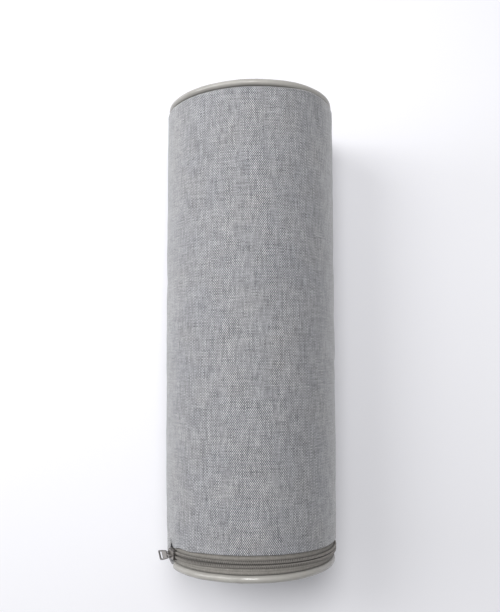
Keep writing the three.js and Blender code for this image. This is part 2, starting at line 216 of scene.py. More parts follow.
@dataclass(frozen=True)
class Roll:
    """The form that every sewn piece lies on: a round roll, settled on its side.

    The waves of its rims show from the top down its sides, and fade out underneath between the
    two heights of waves_show, which are sines of the turn. Inside the roll, what its surface is
    pushed in by fades towards the axis, as the radius to the power of inward_fade.
    """

    radius: float
    axis_height: float
    floor_ease: float = 1.6
    crown_reach: float = 193.0
    sleeve_end: float = 197.3
    sleeve_edge: float = 182.5
    zip_line: float = 189.5
    coil_width: float = 3.0
    seam_turn: float = -118.0
    dome_edge: float = 199.3
    dome_crown: float = 4.0
    inward_fade: int = 4
    waves_fade: float = 110.0
    waves_show: Span = (-0.8, 0.1)
    uneven: Swell = Swell(0.35, 0.6, 45.6, 3.7)
    evened: Span = (150.0, 182.0)
    pinched: Bump = Bump(166.0, 11.0, 1.8)
    pinch_grows: Span = (150.0, 185.0)
    plain: End = End(1, 0.0, 72.0, (Wave(1, -0.23), Wave(2, 0.15, 2.44), Wave(3, 0.82)))
    zipped: End = End(-1, 1.1, 71.2, (Wave(1, -1.84), Wave(2, -0.68, 1.97), Wave(3, 0.71)))
    zip_waves: tuple[Wave, ...] = (Wave(0, -0.5), Wave(2, -1.55))
    dents: tuple[Dent, ...] = (
        Dent(152, 92, 12, 30, 0.9),
        Dent(176, 42, 24, 9, 1.6),
        Dent(92, 113, 10, 14, 0.5),
        Dent(50, 97, 10, 16, 0.7),
        Dent(34, 66, 10, 14, 0.6),
        Dent(-32, 122, 9, 20, 0.6),
        Dent(-48, 78, 11, 32, 1.0),
        Dent(-101, 55, 10, 20, 0.8),
        Dent(-123, 94, 14, 34, 1.1),
    )

    @classmethod
    def from_frame(cls) -> "Roll":
        """Reads the roll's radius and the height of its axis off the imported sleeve."""
        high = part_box("filled_sleeve")[1] / MM
        return cls(radius=high.x, axis_height=high.z - high.x)

    def end_at(self, along: float) -> End:
        """The end that a place is nearer to."""
        return self.plain if along > 0 else self.zipped

    def sleeve_radius(self, along: float) -> float:
        """The sleeve's outer radius before dents."""
        fallen = min(1.0, (along / self.crown_reach) ** 2)
        return self.radius - self.end_at(along).drawn_in * fallen

    def pinch(self, along: float, turn: float) -> float:
        """How deep the zip end is pinched in, where the zip stops."""
        return self.pinched.at(turn) * smooth_step(-along, *self.pinch_grows)

    def pushed_in(self, along: float, turn: float) -> float:
        """How deep the surface lies under its round form: dents, pinch and unevenness.

        Args:
            along: From the roll's middle.
            turn: Round the roll, in degrees.

        Returns:
            The depth.
        """
        dented = sum(dent.at(along, turn, self.radius) for dent in self.dents)
        uneven = self.uneven.at(turn, along) * (1 - smooth_step(abs(along), *self.evened))
        return self.pinch(along, turn) + dented + uneven

    def shift(self, along: float, turn: float) -> float:
        """How far a place is moved towards +Y by the waves of its rim and of the zip.

        Args:
            along: From the roll's middle.
            turn: Round the roll, in degrees.

        Returns:
            The move.
        """
        showing = smooth_step(math.sin(math.radians(turn)), *self.waves_show)
        if along > 0:
            return showing * self.plain.wave(turn) * smooth_step(along, self.waves_fade, self.sleeve_end)
        zip_wave = sum(wave.at(turn) for wave in self.zip_waves)
        to_zip = smooth_step(-along, self.waves_fade, self.sleeve_edge)
        to_rim = smooth_step(-along, self.zip_line + self.coil_width, self.sleeve_end)
        return showing * blended(zip_wave * to_zip, self.zipped.wave(turn), to_rim)

    def eased(self, height: float) -> float:
        """The height that the floor leaves to a point of the roll's surface.

        Args:
            height: The point's height, were there no floor.

        Returns:
            The height.
        """
        if height > self.floor_ease:
            return height
        if height < -self.floor_ease:
            return 0.0
        return (height + self.floor_ease) ** 2 / (4 * self.floor_ease)

    def place(self, radius: float, turn: float, along: float, rim: float | None = None) -> Vector:
        """Lays a place of the round, straight roll where it is once the roll has settled.

        Args:
            radius: From the roll's axis.
            turn: Round the roll, in degrees.
            along: From the roll's middle.
            rim: The radius that meets the floor there, or None for the sleeve's own.

        Returns:
            The point, in metres.
        """
        angle = math.radians(turn)
        outside = self.sleeve_radius(along) if rim is None else rim
        outwards = min(1.0, radius / outside)
        pushed = self.pushed_in(along, turn)
        up = math.sin(angle)
        height = self.axis_height + (outside - pushed) * up
        lifted = (self.eased(height) - height) / -up if up < 0 else 0.0
        laid = radius - outwards**self.inward_fade * (pushed + lifted)
        moved = along + self.shift(along, turn) * outwards
        return Vector((laid * math.cos(angle), moved, max(0.0, self.axis_height + laid * up))) * MM

    def seat(self, radius: float, turn: float, along: float) -> Matrix:
        """A local frame on the roll, for small things in millimetres.

        Args:
            radius: From the roll's axis.
            turn: Round the roll, in degrees.
            along: From the roll's middle.

        Returns:
            A matrix with x onwards round the roll, z outwards and y square to both.
        """
        turn_step, along_step = 0.2, 0.3
        behind, ahead = (self.place(radius, turn + step, along) for step in (-turn_step, turn_step))
        near, far = (self.place(radius, turn, along + step) for step in (along_step, -along_step))
        x_axis = (ahead - behind).normalized()
        z_axis = x_axis.cross(far - near).normalized()
        turned = Matrix((x_axis, z_axis.cross(x_axis), z_axis)).transposed().to_4x4()
        return Matrix.Translation(self.place(radius, turn, along)) @ turned @ Matrix.Scale(MM, 4)


# ---------------------------------------------------------------------------- shader sums


class Wire:
    """A value in a material, which Python's own operators work on."""

    def __init__(self, sheet: "NodeSheet", socket: Socket) -> None:
        """Wraps a socket of one of the sheet's nodes."""
        self.sheet = sheet
        self.socket = socket

    def __add__(self, other: "Wire | float") -> "Wire":
        """Adds."""
        return self.sheet.maths("ADD", self, other)

    __radd__ = __add__

    def __sub__(self, other: "Wire | float") -> "Wire":
        """Takes other away."""
        return self.sheet.maths("SUBTRACT", self, other)

    def __rsub__(self, other: "Wire | float") -> "Wire":
        """Takes this away from other."""
        return self.sheet.maths("SUBTRACT", other, self)

    def __mul__(self, other: "Wire | float") -> "Wire":
        """Multiplies."""
        return self.sheet.maths("MULTIPLY", self, other)

    __rmul__ = __mul__

    def __truediv__(self, other: "Wire | float") -> "Wire":
        """Divides by other."""
        return self.sheet.maths("DIVIDE", self, other)

    def __gt__(self, other: "Wire | float") -> "Wire":
        """1 where this is greater, and 0 elsewhere."""
        return self.sheet.maths("GREATER_THAN", self, other)

    def floor(self) -> "Wire":
        """The whole number below."""
        return self.sheet.maths("FLOOR", self)

    def fraction(self) -> "Wire":
        """What is left over the whole number below."""
        return self.sheet.maths("FRACT", self)

    def absolute(self) -> "Wire":
        """How far it is from 0."""
        return self.sheet.maths("ABSOLUTE", self)

    def sine(self) -> "Wire":
        """The sine, of radians."""
        return self.sheet.maths("SINE", self)

    def clamped(self) -> "Wire":
        """Kept from 0 to 1."""
        return self.sheet.maths("ADD", self, 0.0, use_clamp=True)

    def spread(self, contrast: float) -> "Wire":
        """Spread away from a half, and kept from 0 to 1."""
        return ((self - 0.5) * contrast + 0.5).clamped()


Input = Wire | Socket | float | Colour


class NodeSheet:
    """One material's nodes, with its one shader and output in place."""

    def __init__(self, name: str) -> None:
        """Starts a material whose shader nothing is linked to.

        Args:
            name: The material's name.
        """
        self.material = bpy.data.materials.new(name)
        self.material.use_nodes = True
        self.nodes = self.material.node_tree.nodes
        self.links = self.material.node_tree.links
        self.shader = self.nodes["Principled BSDF"]

    def node(self, kind: str, settings: dict | None = None, inputs: dict | None = None) -> bpy.types.Node:
        """Adds a node.

        Args:
            kind: The node's type, without its ShaderNode prefix.
            settings: The node's own properties, set before its inputs.
            inputs: Its sockets' values or links, by name or number.

        Returns:
            The node.
        """
        made = self.nodes.new("ShaderNode" + kind)
        for name, value in (settings or {}).items():
            setattr(made, name, value)
        for name, value in (inputs or {}).items():
            self.feed(made.inputs[name], value)
        return made

    def feed(self, socket: Socket, value: Input) -> None:
        """Links a value to a socket, or sets the socket to it.

        Args:
            socket: The socket of a node or of the shader.
            value: What it gets.
        """
        source = value.socket if isinstance(value, Wire) else value
        if isinstance(source, Socket):
            self.links.new(source, socket)
        elif socket.type == "RGBA":
            socket.default_value = (*source, 1)
        else:
            socket.default_value = source

    def maths(self, operation: str, *values: Input, use_clamp: bool = False) -> Wire:
        """One sum on values."""
        settings = {"operation": operation, "use_clamp": use_clamp}
        return Wire(self, self.node("Math", settings, dict(enumerate(values))).outputs[0])

    def flat_place(self) -> tuple[Wire, Wire]:
        """Where a point lies on its flat cloth, in metres.

        Returns:
            Its place the cloth's first way, and its second.
        """
        mapped = self.node("UVMap", {"uv_map": CLOTH_MAP})
        parts = self.node("SeparateXYZ", inputs={0: mapped.outputs[0]})
        return Wire(self, parts.outputs[0]), Wire(self, parts.outputs[1])

    def object_place(self) -> Socket:
        """Where a point lies in the object, in metres."""
        return self.node("TexCoord").outputs["Object"]

    def vector(self, x: Input, y: Input = 0.0, z: Input = 0.0) -> Socket:
        """A vector from its parts."""
        return self.node("CombineXYZ", inputs={0: x, 1: y, 2: z}).outputs[0]

    def cloud(self, place: Input, scale: float, detail: float = 2.0, rough: float = 0.5) -> Wire:
        """Soft noise from 0 to 1 at a place."""
        inputs = {"Vector": place, "Scale": scale, "Detail": detail, "Roughness": rough}
        return Wire(self, self.node("TexNoise", inputs=inputs).outputs[0])

    def streaks(self, counts: Pair, seed: float = 0.0, detail: float = 1.0, rough: float = 0.5) -> Wire:
        """Noise from 0 to 1, drawn out over the flat cloth by its swells to the metre each way."""
        first, second = (place * count for place, count in zip(self.flat_place(), counts))
        return self.cloud(self.vector(first, second, seed), 1.0, detail, rough)

    def attribute(self, name: str) -> Wire:
        """A number that the mesh carries."""
        return Wire(self, self.node("Attribute", {"attribute_name": name}).outputs["Fac"])

    def mix(self, share: Input, first: Input, second: Input, blend: str = "MIX") -> Socket:
        """Mixes two colours."""
        settings = {"data_type": "RGBA", "blend_type": blend}
        return self.node("Mix", settings, {0: share, 6: first, 7: second}).outputs[2]

    def shaded(self, colour: Input, light: Wire) -> Socket:
        """A colour made lighter or darker by a number."""
        settings = {"operation": "SCALE"}
        return self.node("VectorMath", settings, {0: colour, "Scale": light}).outputs[0]

    def ramp(self, value: Wire, *colours: Colour) -> Socket:
        """A colour for each value from 0 to 1, through evenly spaced colours.

        Args:
            value: What picks the colour.
            colours: The colours, from the one at 0 to the one at 1.

        Returns:
            The colour.
        """
        made = self.node("ValToRGB", inputs={0: value})
        elements = made.color_ramp.elements
        while len(elements) < len(colours):
            elements.new(0.5)
        for i, (element, colour) in enumerate(zip(elements, colours)):
            element.position = i / (len(colours) - 1)
            element.color = (*colour, 1)
        return made.outputs[0]

    def raised(self, height: Wire, depth: float, strength: float) -> None:
        """Gives the surface a relief, in millimetres."""
        inputs = {"Height": height, "Distance": depth * MM, "Strength": strength}
        self.feed(self.shader.inputs["Normal"], self.node("Bump", inputs=inputs).outputs[0])

    def finish(self, **sockets: Input) -> Material:
        """Sets the shader's sockets, named with _ for a space, and returns the material.

        Args:
            sockets: What each of them gets.

        Returns:
            The material.
        """
        for name, value in sockets.items():
            self.feed(self.shader.inputs[name.replace("_", " ")], value)
        return self.material


# ---------------------------------------------------------------------------- the finishes


@dataclass(frozen=True)
class Weave:
    """A plain weave, by the pitches of its yarns and how far they wander, as shares of a pitch.

    Streak is how fast a yarn's tone changes along it. The strides are how far apart two
    neighbouring yarns' tones are drawn.
    """

    warp_pitch: float
    weft_pitch: float
    warp_wander: float = 1.0
    weft_wander: float = 0.75
    wander_count: float = 90.0
    streak: float = 0.09
    warp_stride: float = 7.31
    weft_stride: float = 5.17
    weft_seed: float = 9.0

    def on(self, sheet: NodeSheet) -> tuple[Wire, Wire, Wire]:
        """Weaves it on a sheet.

        Args:
            sheet: The material's nodes.

        Returns:
            Which yarn is on top (1 for the warp), that yarn's own tone, and its height.
        """
        across, along = sheet.flat_place()
        sway = sheet.cloud(sheet.vector(across, along), self.wander_count) - 0.5
        warp = across / (self.warp_pitch * MM) + sway * self.warp_wander
        weft = along / (self.weft_pitch * MM) + sway * self.weft_wander
        odd_square = ((warp.floor() + weft.floor()) * 0.5).fraction()
        warp_on_top = odd_square > 0.25
        warp_yarn = sheet.vector(warp.floor() * self.warp_stride, weft * self.streak)
        weft_yarn = sheet.vector(weft.floor() * self.weft_stride, warp * self.streak, self.weft_seed)
        warp_tone, weft_tone = (
            sheet.cloud(yarn, scale=1.0, detail=3.0, rough=0.6) for yarn in (warp_yarn, weft_yarn)
        )
        tone = weft_tone + (warp_tone - weft_tone) * warp_on_top
        warp_back = (warp.fraction() * math.pi).sine()
        weft_back = (weft.fraction() * math.pi).sine()
        crest = weft_back + (warp_back - weft_back) * warp_on_top
        ends = warp_back + (weft_back - warp_back) * warp_on_top
        return warp_on_top, tone, crest * (0.5 + 0.5 * ends)


@dataclass(frozen=True)
class LinenCloth:
    """Linen-look cloth of pale and dark yarns, with slubs.

    Its colour goes from dark to pale by which yarn is on top, by that yarn's own tone and by the
    slubs in both. The shares are how much each of them counts.
    """

    name: str = "woven_linen"
    weave: Weave = Weave(0.8, 1.15)
    dark: Colour = (0.065, 0.066, 0.072)
    middle: Colour = (0.239, 0.237, 0.244)
    pale: Colour = (0.62, 0.614, 0.61)
    cool_tint: Colour = (0.955, 0.985, 1.05)
    top_share: float = 0.58
    tone_share: float = 1.2
    warp_slub_share: float = 0.28
    weft_slub_share: float = 0.34
    warp_slubs: Pair = (900.0, 60.0)
    weft_slubs: Pair = (45.0, 800.0)
    mottle_count: float = 38.0
    # how light the weave is painted in its valleys and on its crests: painted shade and painted highlight
    valley_light: float = 0.72
    crest_light: float = 0.36
    mottle_light: float = 0.1
    painted_shade_share: float = 0.75

    def material(self) -> Material:
        """Makes the material.

        Returns:
            The material.
        """
        sheet = NodeSheet(self.name)
        warp_on_top, tone, height = self.weave.on(sheet)
        slub = sheet.streaks(self.warp_slubs)
        weft_slub = sheet.streaks(self.weft_slubs, seed=4.0)
        lean = (warp_on_top - 0.5) * self.top_share + (tone - 0.5) * self.tone_share
        lean = lean + (slub - 0.5) * self.warp_slub_share + (weft_slub - 0.5) * self.weft_slub_share
        colour = sheet.ramp((lean + 0.5).clamped(), self.dark, self.middle, self.pale)
        mottle = sheet.cloud(sheet.object_place(), self.mottle_count)
        colour = sheet.mix(mottle, sheet.mix(1.0, colour, self.cool_tint, "MULTIPLY"), colour)
        # painted shade in the weave's valleys, a painted highlight on its crests, a random mottle in tone,
        # and painted shade where the mesh is marked
        light = (self.valley_light + self.crest_light * height) * (1 + self.mottle_light * (mottle - 0.5))
        light = light * (1 - self.painted_shade_share * sheet.attribute("painted_shade"))
        sheet.raised(height + slub * 0.5, depth=0.25, strength=0.6)
        return sheet.finish(
            Base_Color=sheet.shaded(colour, light),
            Roughness=0.92,
            Sheen_Weight=0.6,
            Sheen_Roughness=0.4,
            Specular_IOR_Level=0.2,
        )


@dataclass(frozen=True)
class CoatedCloth:
    """Smooth leather-look cloth, as on the piping, with long glossy streaks."""

    name: str = "coated_cloth"
    colour: Colour = (0.315, 0.303, 0.28)
    worn: Colour = (0.39, 0.378, 0.353)
    streak_counts: Pair = (45.0, 480.0)
    gloss_from: float = 0.32
    painted_shade_share: float = 0.85

    def material(self) -> Material:
        """Makes the material.

        Returns:
            The material.
        """
        sheet = NodeSheet(self.name)
        place = sheet.object_place()
        grain = sheet.cloud(place, scale=1500.0, detail=3.0)
        creases = sheet.cloud(place, scale=260.0, detail=4.0, rough=0.65)
        patches = sheet.cloud(place, scale=60.0)
        streaks = sheet.streaks(self.streak_counts, seed=3.0, detail=2.0, rough=0.6)
        colour = sheet.mix(patches.spread(1.6), self.colour, self.worn)
        # painted shade in the creases' low parts, and painted shade where the mesh is marked
        light = (0.9 + 0.2 * creases) * (1 - self.painted_shade_share * sheet.attribute("painted_shade"))
        sheet.raised(grain * 0.4 + creases + streaks * 1.5, depth=0.2, strength=0.35)
        return sheet.finish(
            Base_Color=sheet.shaded(colour, light),
            Roughness=0.38 + 0.25 * creases,
            Coat_Weight=((streaks - self.gloss_from) * 3).clamped(),
            Coat_Roughness=0.14,
            Coat_IOR=1.6,
        )


@dataclass(frozen=True)
class TapeCloth:
    """Fine woven zip tape, with ribs along its edges, and painted shade under and beside the coil."""

    name: str = "tape_cloth"
    weave: Weave = Weave(0.7, 0.45, warp_wander=0.32, weft_wander=0.24)
    dark: Colour = (0.12, 0.112, 0.1)
    pale: Colour = (0.34, 0.322, 0.296)
    rib_pitch: float = 1.8
    # how far from the zip's middle line the painted shade under and beside the coil reaches, how fast it
    # fades and how dark it is
    groove_reach: float = 3.6
    coil_shade_fade: float = 0.6
    coil_shade_share: float = 0.52

    def material(self) -> Material:
        """Makes the material.

        Returns:
            The material.
        """
        sheet = NodeSheet(self.name)
        _, tone, height = self.weave.on(sheet)
        _, along = sheet.flat_place()
        rib = (along * (math.tau / (self.rib_pitch * MM))).sine() * 0.5 + 0.5
        # painted shade under and beside the coil, where the coil would shade the tape
        off_line = (along + Roll.zip_line * MM).absolute()
        coil_shade = ((self.groove_reach * MM - off_line) / (self.coil_shade_fade * MM)).clamped()
        # painted shade in the weave's valleys and between the ribs, and the coil's painted shade
        light = (0.76 + 0.26 * height + 0.19 * rib) * (1 - self.coil_shade_share * coil_shade)
        sheet.raised(height + rib * 0.8, depth=0.2, strength=0.7)
        return sheet.finish(
            Base_Color=sheet.shaded(sheet.ramp(tone.spread(1.6), self.dark, self.pale), light),
            Roughness=0.8,
            Sheen_Weight=0.15,
            Specular_IOR_Level=0.3,
        )


@dataclass(frozen=True)
class Nylon:
    """Dyed nylon, as in the coil."""

    name: str = "coil_nylon"
    colour: Colour = (0.2, 0.185, 0.171)
    pale: Colour = (0.285, 0.268, 0.25)

    def material(self) -> Material:
        """Makes the material.

        Returns:
            The material.
        """
        sheet = NodeSheet(self.name)
        dye = sheet.cloud(sheet.object_place(), scale=420.0, detail=3.0)
        sheet.raised(dye, depth=0.1, strength=0.3)
        colour = sheet.mix(dye.spread(2.0), self.colour, self.pale)
        return sheet.finish(Base_Color=colour, Roughness=0.3 + 0.25 * dye, Coat_Weight=0.1)


@dataclass(frozen=True)
class Thread:
    """Sewing thread in the tape's colour."""

    name: str = "sewing_thread"
    colour: Colour = (0.16, 0.148, 0.135)

    def material(self) -> Material:
        """Makes the material.

        Returns:
            The material.
        """
        sheet = NodeSheet(self.name)
        ply = sheet.cloud(sheet.object_place(), scale=2600.0, detail=1.0)
        sheet.raised(ply, depth=0.1, strength=0.5)
        return sheet.finish(Base_Color=sheet.shaded(self.colour, 0.6 + 0.8 * ply), Roughness=0.7)


@dataclass(frozen=True)
class PaintedMetal:
    """Cast metal under a satin paint, worn to metal along its edges, whose dark colour is partly wear and
    partly painted shade.
    """

    name: str = "painted_metal"
    colour: Colour = (0.27, 0.25, 0.235)
    bare_and_shaded: Colour = (0.1, 0.094, 0.09)

    def material(self) -> Material:
        """Makes the material.

        Returns:
            The material.
        """
        sheet = NodeSheet(self.name)
        cast = sheet.cloud(sheet.object_place(), scale=900.0, detail=4.0, rough=0.6)
        # the rounded edges: worn paint, and painted shade darkening them
        worn_and_shaded = (sheet.attribute("edge") * (cast * 3 - 0.6)).clamped()
        sheet.raised(cast, depth=0.1, strength=0.25)
        return sheet.finish(
            Base_Color=sheet.mix(worn_and_shaded, self.colour, self.bare_and_shaded),
            Metallic=0.35 + 0.5 * worn_and_shaded,
            Roughness=0.34 + 0.2 * cast,
            Coat_Weight=0.2,
        )


class Finish(Enum):
    """The object's finishes, each with the slot of the record that it belongs to."""

    LINEN = (LinenCloth(), "linen_cloth")
    PIPING = (CoatedCloth(), "piping")
    TAPE = (TapeCloth(), "zip_tape")
    COIL = (Nylon(), "zip_coil")
    THREAD = (Thread(), "zip_tape")
    METAL = (PaintedMetal(), "zip_metal")

    def material(self) -> Material:
        """This finish's material, made the first time it is asked for."""
        maker = self.value[0]
        return bpy.data.materials.get(maker.name) or maker.material()


# ---------------------------------------------------------------------------- mesh helpers


def gridded(columns: int, rows: int) -> tuple[Shape, dict[bmesh.types.BMVert, Step]]:
    """A flat grid, and which column and row of it each vertex is at.

    Args:
        columns: Its steps one way.
        rows: Its steps the other way.

    Returns:
        The grid, and each vertex's column and row.
    """
    bm = bmesh.new()
    bmesh.ops.create_grid(bm, x_segments=columns, y_segments=rows, size=0.5)
    steps = {
        vertex: (round((vertex.co.x + 0.5) * columns), round((vertex.co.y + 0.5) * rows))
        for vertex in bm.verts
    }
    return bm, steps


def rolled(columns: int, rows: int, place: Place, flat: Flat) -> Shape:
    """Cuts a rectangle of cloth as a grid and lays each of its points in place.

    Args:
        columns: Its steps round the roll.
        rows: Its steps along the roll, from the plain end to the zip end.
        place: Where the point at a column and row goes, in metres.
        flat: Where it lay on the flat cloth, in metres.

    Returns:
        The mesh, with its meeting edges merged.
    """
    bm, steps = gridded(columns, rows)
    cloth = bm.loops.layers.uv.new(CLOTH_MAP)
    for face in bm.faces:
        for loop in face.loops:
            loop[cloth].uv = flat(*steps[loop.vert])
    for vertex, step in steps.items():
        vertex.co = place(*step)
    bmesh.ops.remove_doubles(bm, verts=bm.verts, dist=MERGE)
    return bm


def tube(path: Sequence[Vector], radius: float, sides: int) -> Shape:
    """A round wire along a path, closed at both ends.

    Args:
        path: The wire's middle, in metres.
        radius: The wire's radius, in metres.
        sides: How many sides it has.

    Returns:
        The mesh.
    """
    ahead = [(path[min(i + 1, len(path) - 1)] - path[max(i - 1, 0)]).normalized() for i in range(len(path))]
    normals = [ahead[0].orthogonal().normalized()]
    for heading in ahead[1:]:
        last = normals[-1]
        normals.append((last - heading * last.dot(heading)).normalized())

    def place(column: int, row: int) -> Vector:
        """A point of the wire's skin.

        Args:
            column: Its place along the path.
            row: Its place round the wire.

        Returns:
            The point, in metres.
        """
        angle = math.tau * row / sides
        normal = normals[column]
        side = normal.cross(ahead[column])
        return path[column] + (normal * math.cos(angle) + side * math.sin(angle)) * radius

    bm = rolled(len(path) - 1, sides, place, lambda column, row: (column * radius, row * radius))
    bmesh.ops.holes_fill(bm, edges=bm.edges, sides=0)
    return bm


def walled(bm: Shape, thickness: float) -> None:
    """Gives flat faces a thickness, and turns the closed shell outwards."""
    bmesh.ops.solidify(bm, geom=bm.faces[:], thickness=thickness)
    bmesh.ops.recalc_face_normals(bm, faces=bm.faces)


def rounded(bm: Shape, edges: list, radius: float, segments: int) -> list[bmesh.types.BMVert]:
    """Rounds some edges, and gives back the rounding's vertices.

    Args:
        bm: The shape.
        edges: The edges.
        radius: How wide the rounding is.
        segments: How many faces it has.

    Returns:
        The vertices.
    """
    return bmesh.ops.bevel(
        bm, geom=edges, offset=radius, offset_type="OFFSET", segments=segments, profile=0.5,
        affect="EDGES", clamp_overlap=True, material=-1,
    )["verts"]


def mesh_of(name: str, bm: Shape) -> bpy.types.Mesh:
    """Keeps a shape as a mesh, and frees it.

    Args:
        name: The mesh's name.
        bm: The shape.

    Returns:
        The mesh.
    """
    mesh = bpy.data.meshes.new(name)
    bm.to_mesh(mesh)
    bm.free()
    return mesh


def in_scene(name: str, data: bpy.types.ID) -> Piece:
    """Puts a mesh, lamp or camera in the scene.

    Args:
        name: Its name.
        data: The mesh, lamp or camera.

    Returns:
        Its object.
    """
    thing = bpy.data.objects.new(name, data)
    bpy.context.scene.collection.objects.link(thing)
    return thing


def joined(parts: Iterable[Shape]) -> Shape:
    """Joins shapes into one.

    Args:
        parts: The shapes, which are freed.

    Returns:
        The one shape.
    """
    whole = bmesh.new()
    for part in parts:
        carried = mesh_of("part", part)
        whole.from_mesh(carried)
        bpy.data.meshes.remove(carried)
    return whole


def finished(name: str, bm: Shape, finish: Finish, *nodes: str) -> Piece:
    """Makes a shape a piece of the object.

    Args:
        name: The piece's name.
        bm: Its shape, in metres and in place. It is freed.
        finish: What it is finished in.
        nodes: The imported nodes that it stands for.

    Returns:
        The piece, smooth, riding on the roll.
    """
    for face in bm.faces:
        face.smooth = True
    piece = in_scene(name, mesh_of(name, bm))
    piece.data.materials.append(finish.material())
    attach(piece, "root")
    if nodes:
        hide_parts(*nodes)
    LOG.info("%s: %d faces", name, len(piece.data.polygons))
    return piece


def thickened(piece: Piece, thickness: float) -> Piece:
    """Gives a sheet its thickness, half to each side.

    Args:
        piece: The sheet.
        thickness: Its thickness.

    Returns:
        The sheet.
    """
    wall = piece.modifiers.new("Thickness", "SOLIDIFY")
    wall.thickness = thickness * MM
    wall.offset = 0
    return piece


def stepped(spans: Sequence[tuple[float, float, float]]) -> list[float]:
    """Places from a table of spans, each a start, an end and the step between places.

    Args:
        spans: The table.

    Returns:
        The places, in order.
    """
    places = [spans[0][0]]
    for start, end, step in spans:
        count = max(1, round(abs(end - start) / step))
        places += [blended(start, end, i / count) for i in range(1, count + 1)]
    return places


def shade_marked(bm: Shape, roll: Roll, shade: Callable[[float, float, float], float]) -> Shape:
    """Marks on a shape how much painted shade each of its points gets, for shade no lamp reaches.

    Args:
        bm: The shape, in place.
        roll: The roll that it is sewn on.
        shade: How much painted shade a point gets, from 0 to 1, by its radius, its turn and its place along.

    Returns:
        The shape.
    """
    # the painted shade that the cloth materials darken their colour by
    painted_shade = bm.verts.layers.float.new("painted_shade")
    for vertex in bm.verts:
        across, up = vertex.co.x / MM, vertex.co.z / MM - roll.axis_height
        vertex[painted_shade] = shade(math.hypot(across, up), turn_of(across, up), vertex.co.y / MM)
    return bm


def lengths_from(points: Sequence[Spot]) -> list[float]:
    """How far along a line of points each of them is.

    Args:
        points: The line.

    Returns:
        A length for each point, from 0.
    """
    lengths = [0.0]
    for before, after in zip(points, points[1:]):
        lengths.append(lengths[-1] + math.dist(before, after))
    return lengths


def resampled(points: Sequence[Spot], count: int) -> list[Spot]:
    """Spaces count points evenly along a line of points.

    Args:
        points: The line.
        count: How many points it gets.

    Returns:
        The new points.
    """
    lengths = lengths_from(points)
    spaced, leg = [], 0
    for i in range(count):
        reach = lengths[-1] * i / (count - 1)
        while leg < len(points) - 2 and lengths[leg + 1] < reach:
            leg += 1
        share = (reach - lengths[leg]) / (lengths[leg + 1] - lengths[leg])
        spaced.append(tuple(blended(a, b, share) for a, b in zip(points[leg], points[leg + 1])))
    return spaced


def arc(centre: Spot, radius: float, start: float, end: float, steps: int) -> list[Spot]:
    """Points along an arc, from start to end in degrees."""
    angles = [math.radians(blended(start, end, i / steps)) for i in range(steps + 1)]
    return [(centre[0] + radius * math.cos(a), centre[1] + radius * math.sin(a)) for a in angles]


# ---------------------------------------------------------------------------- the sewn pieces


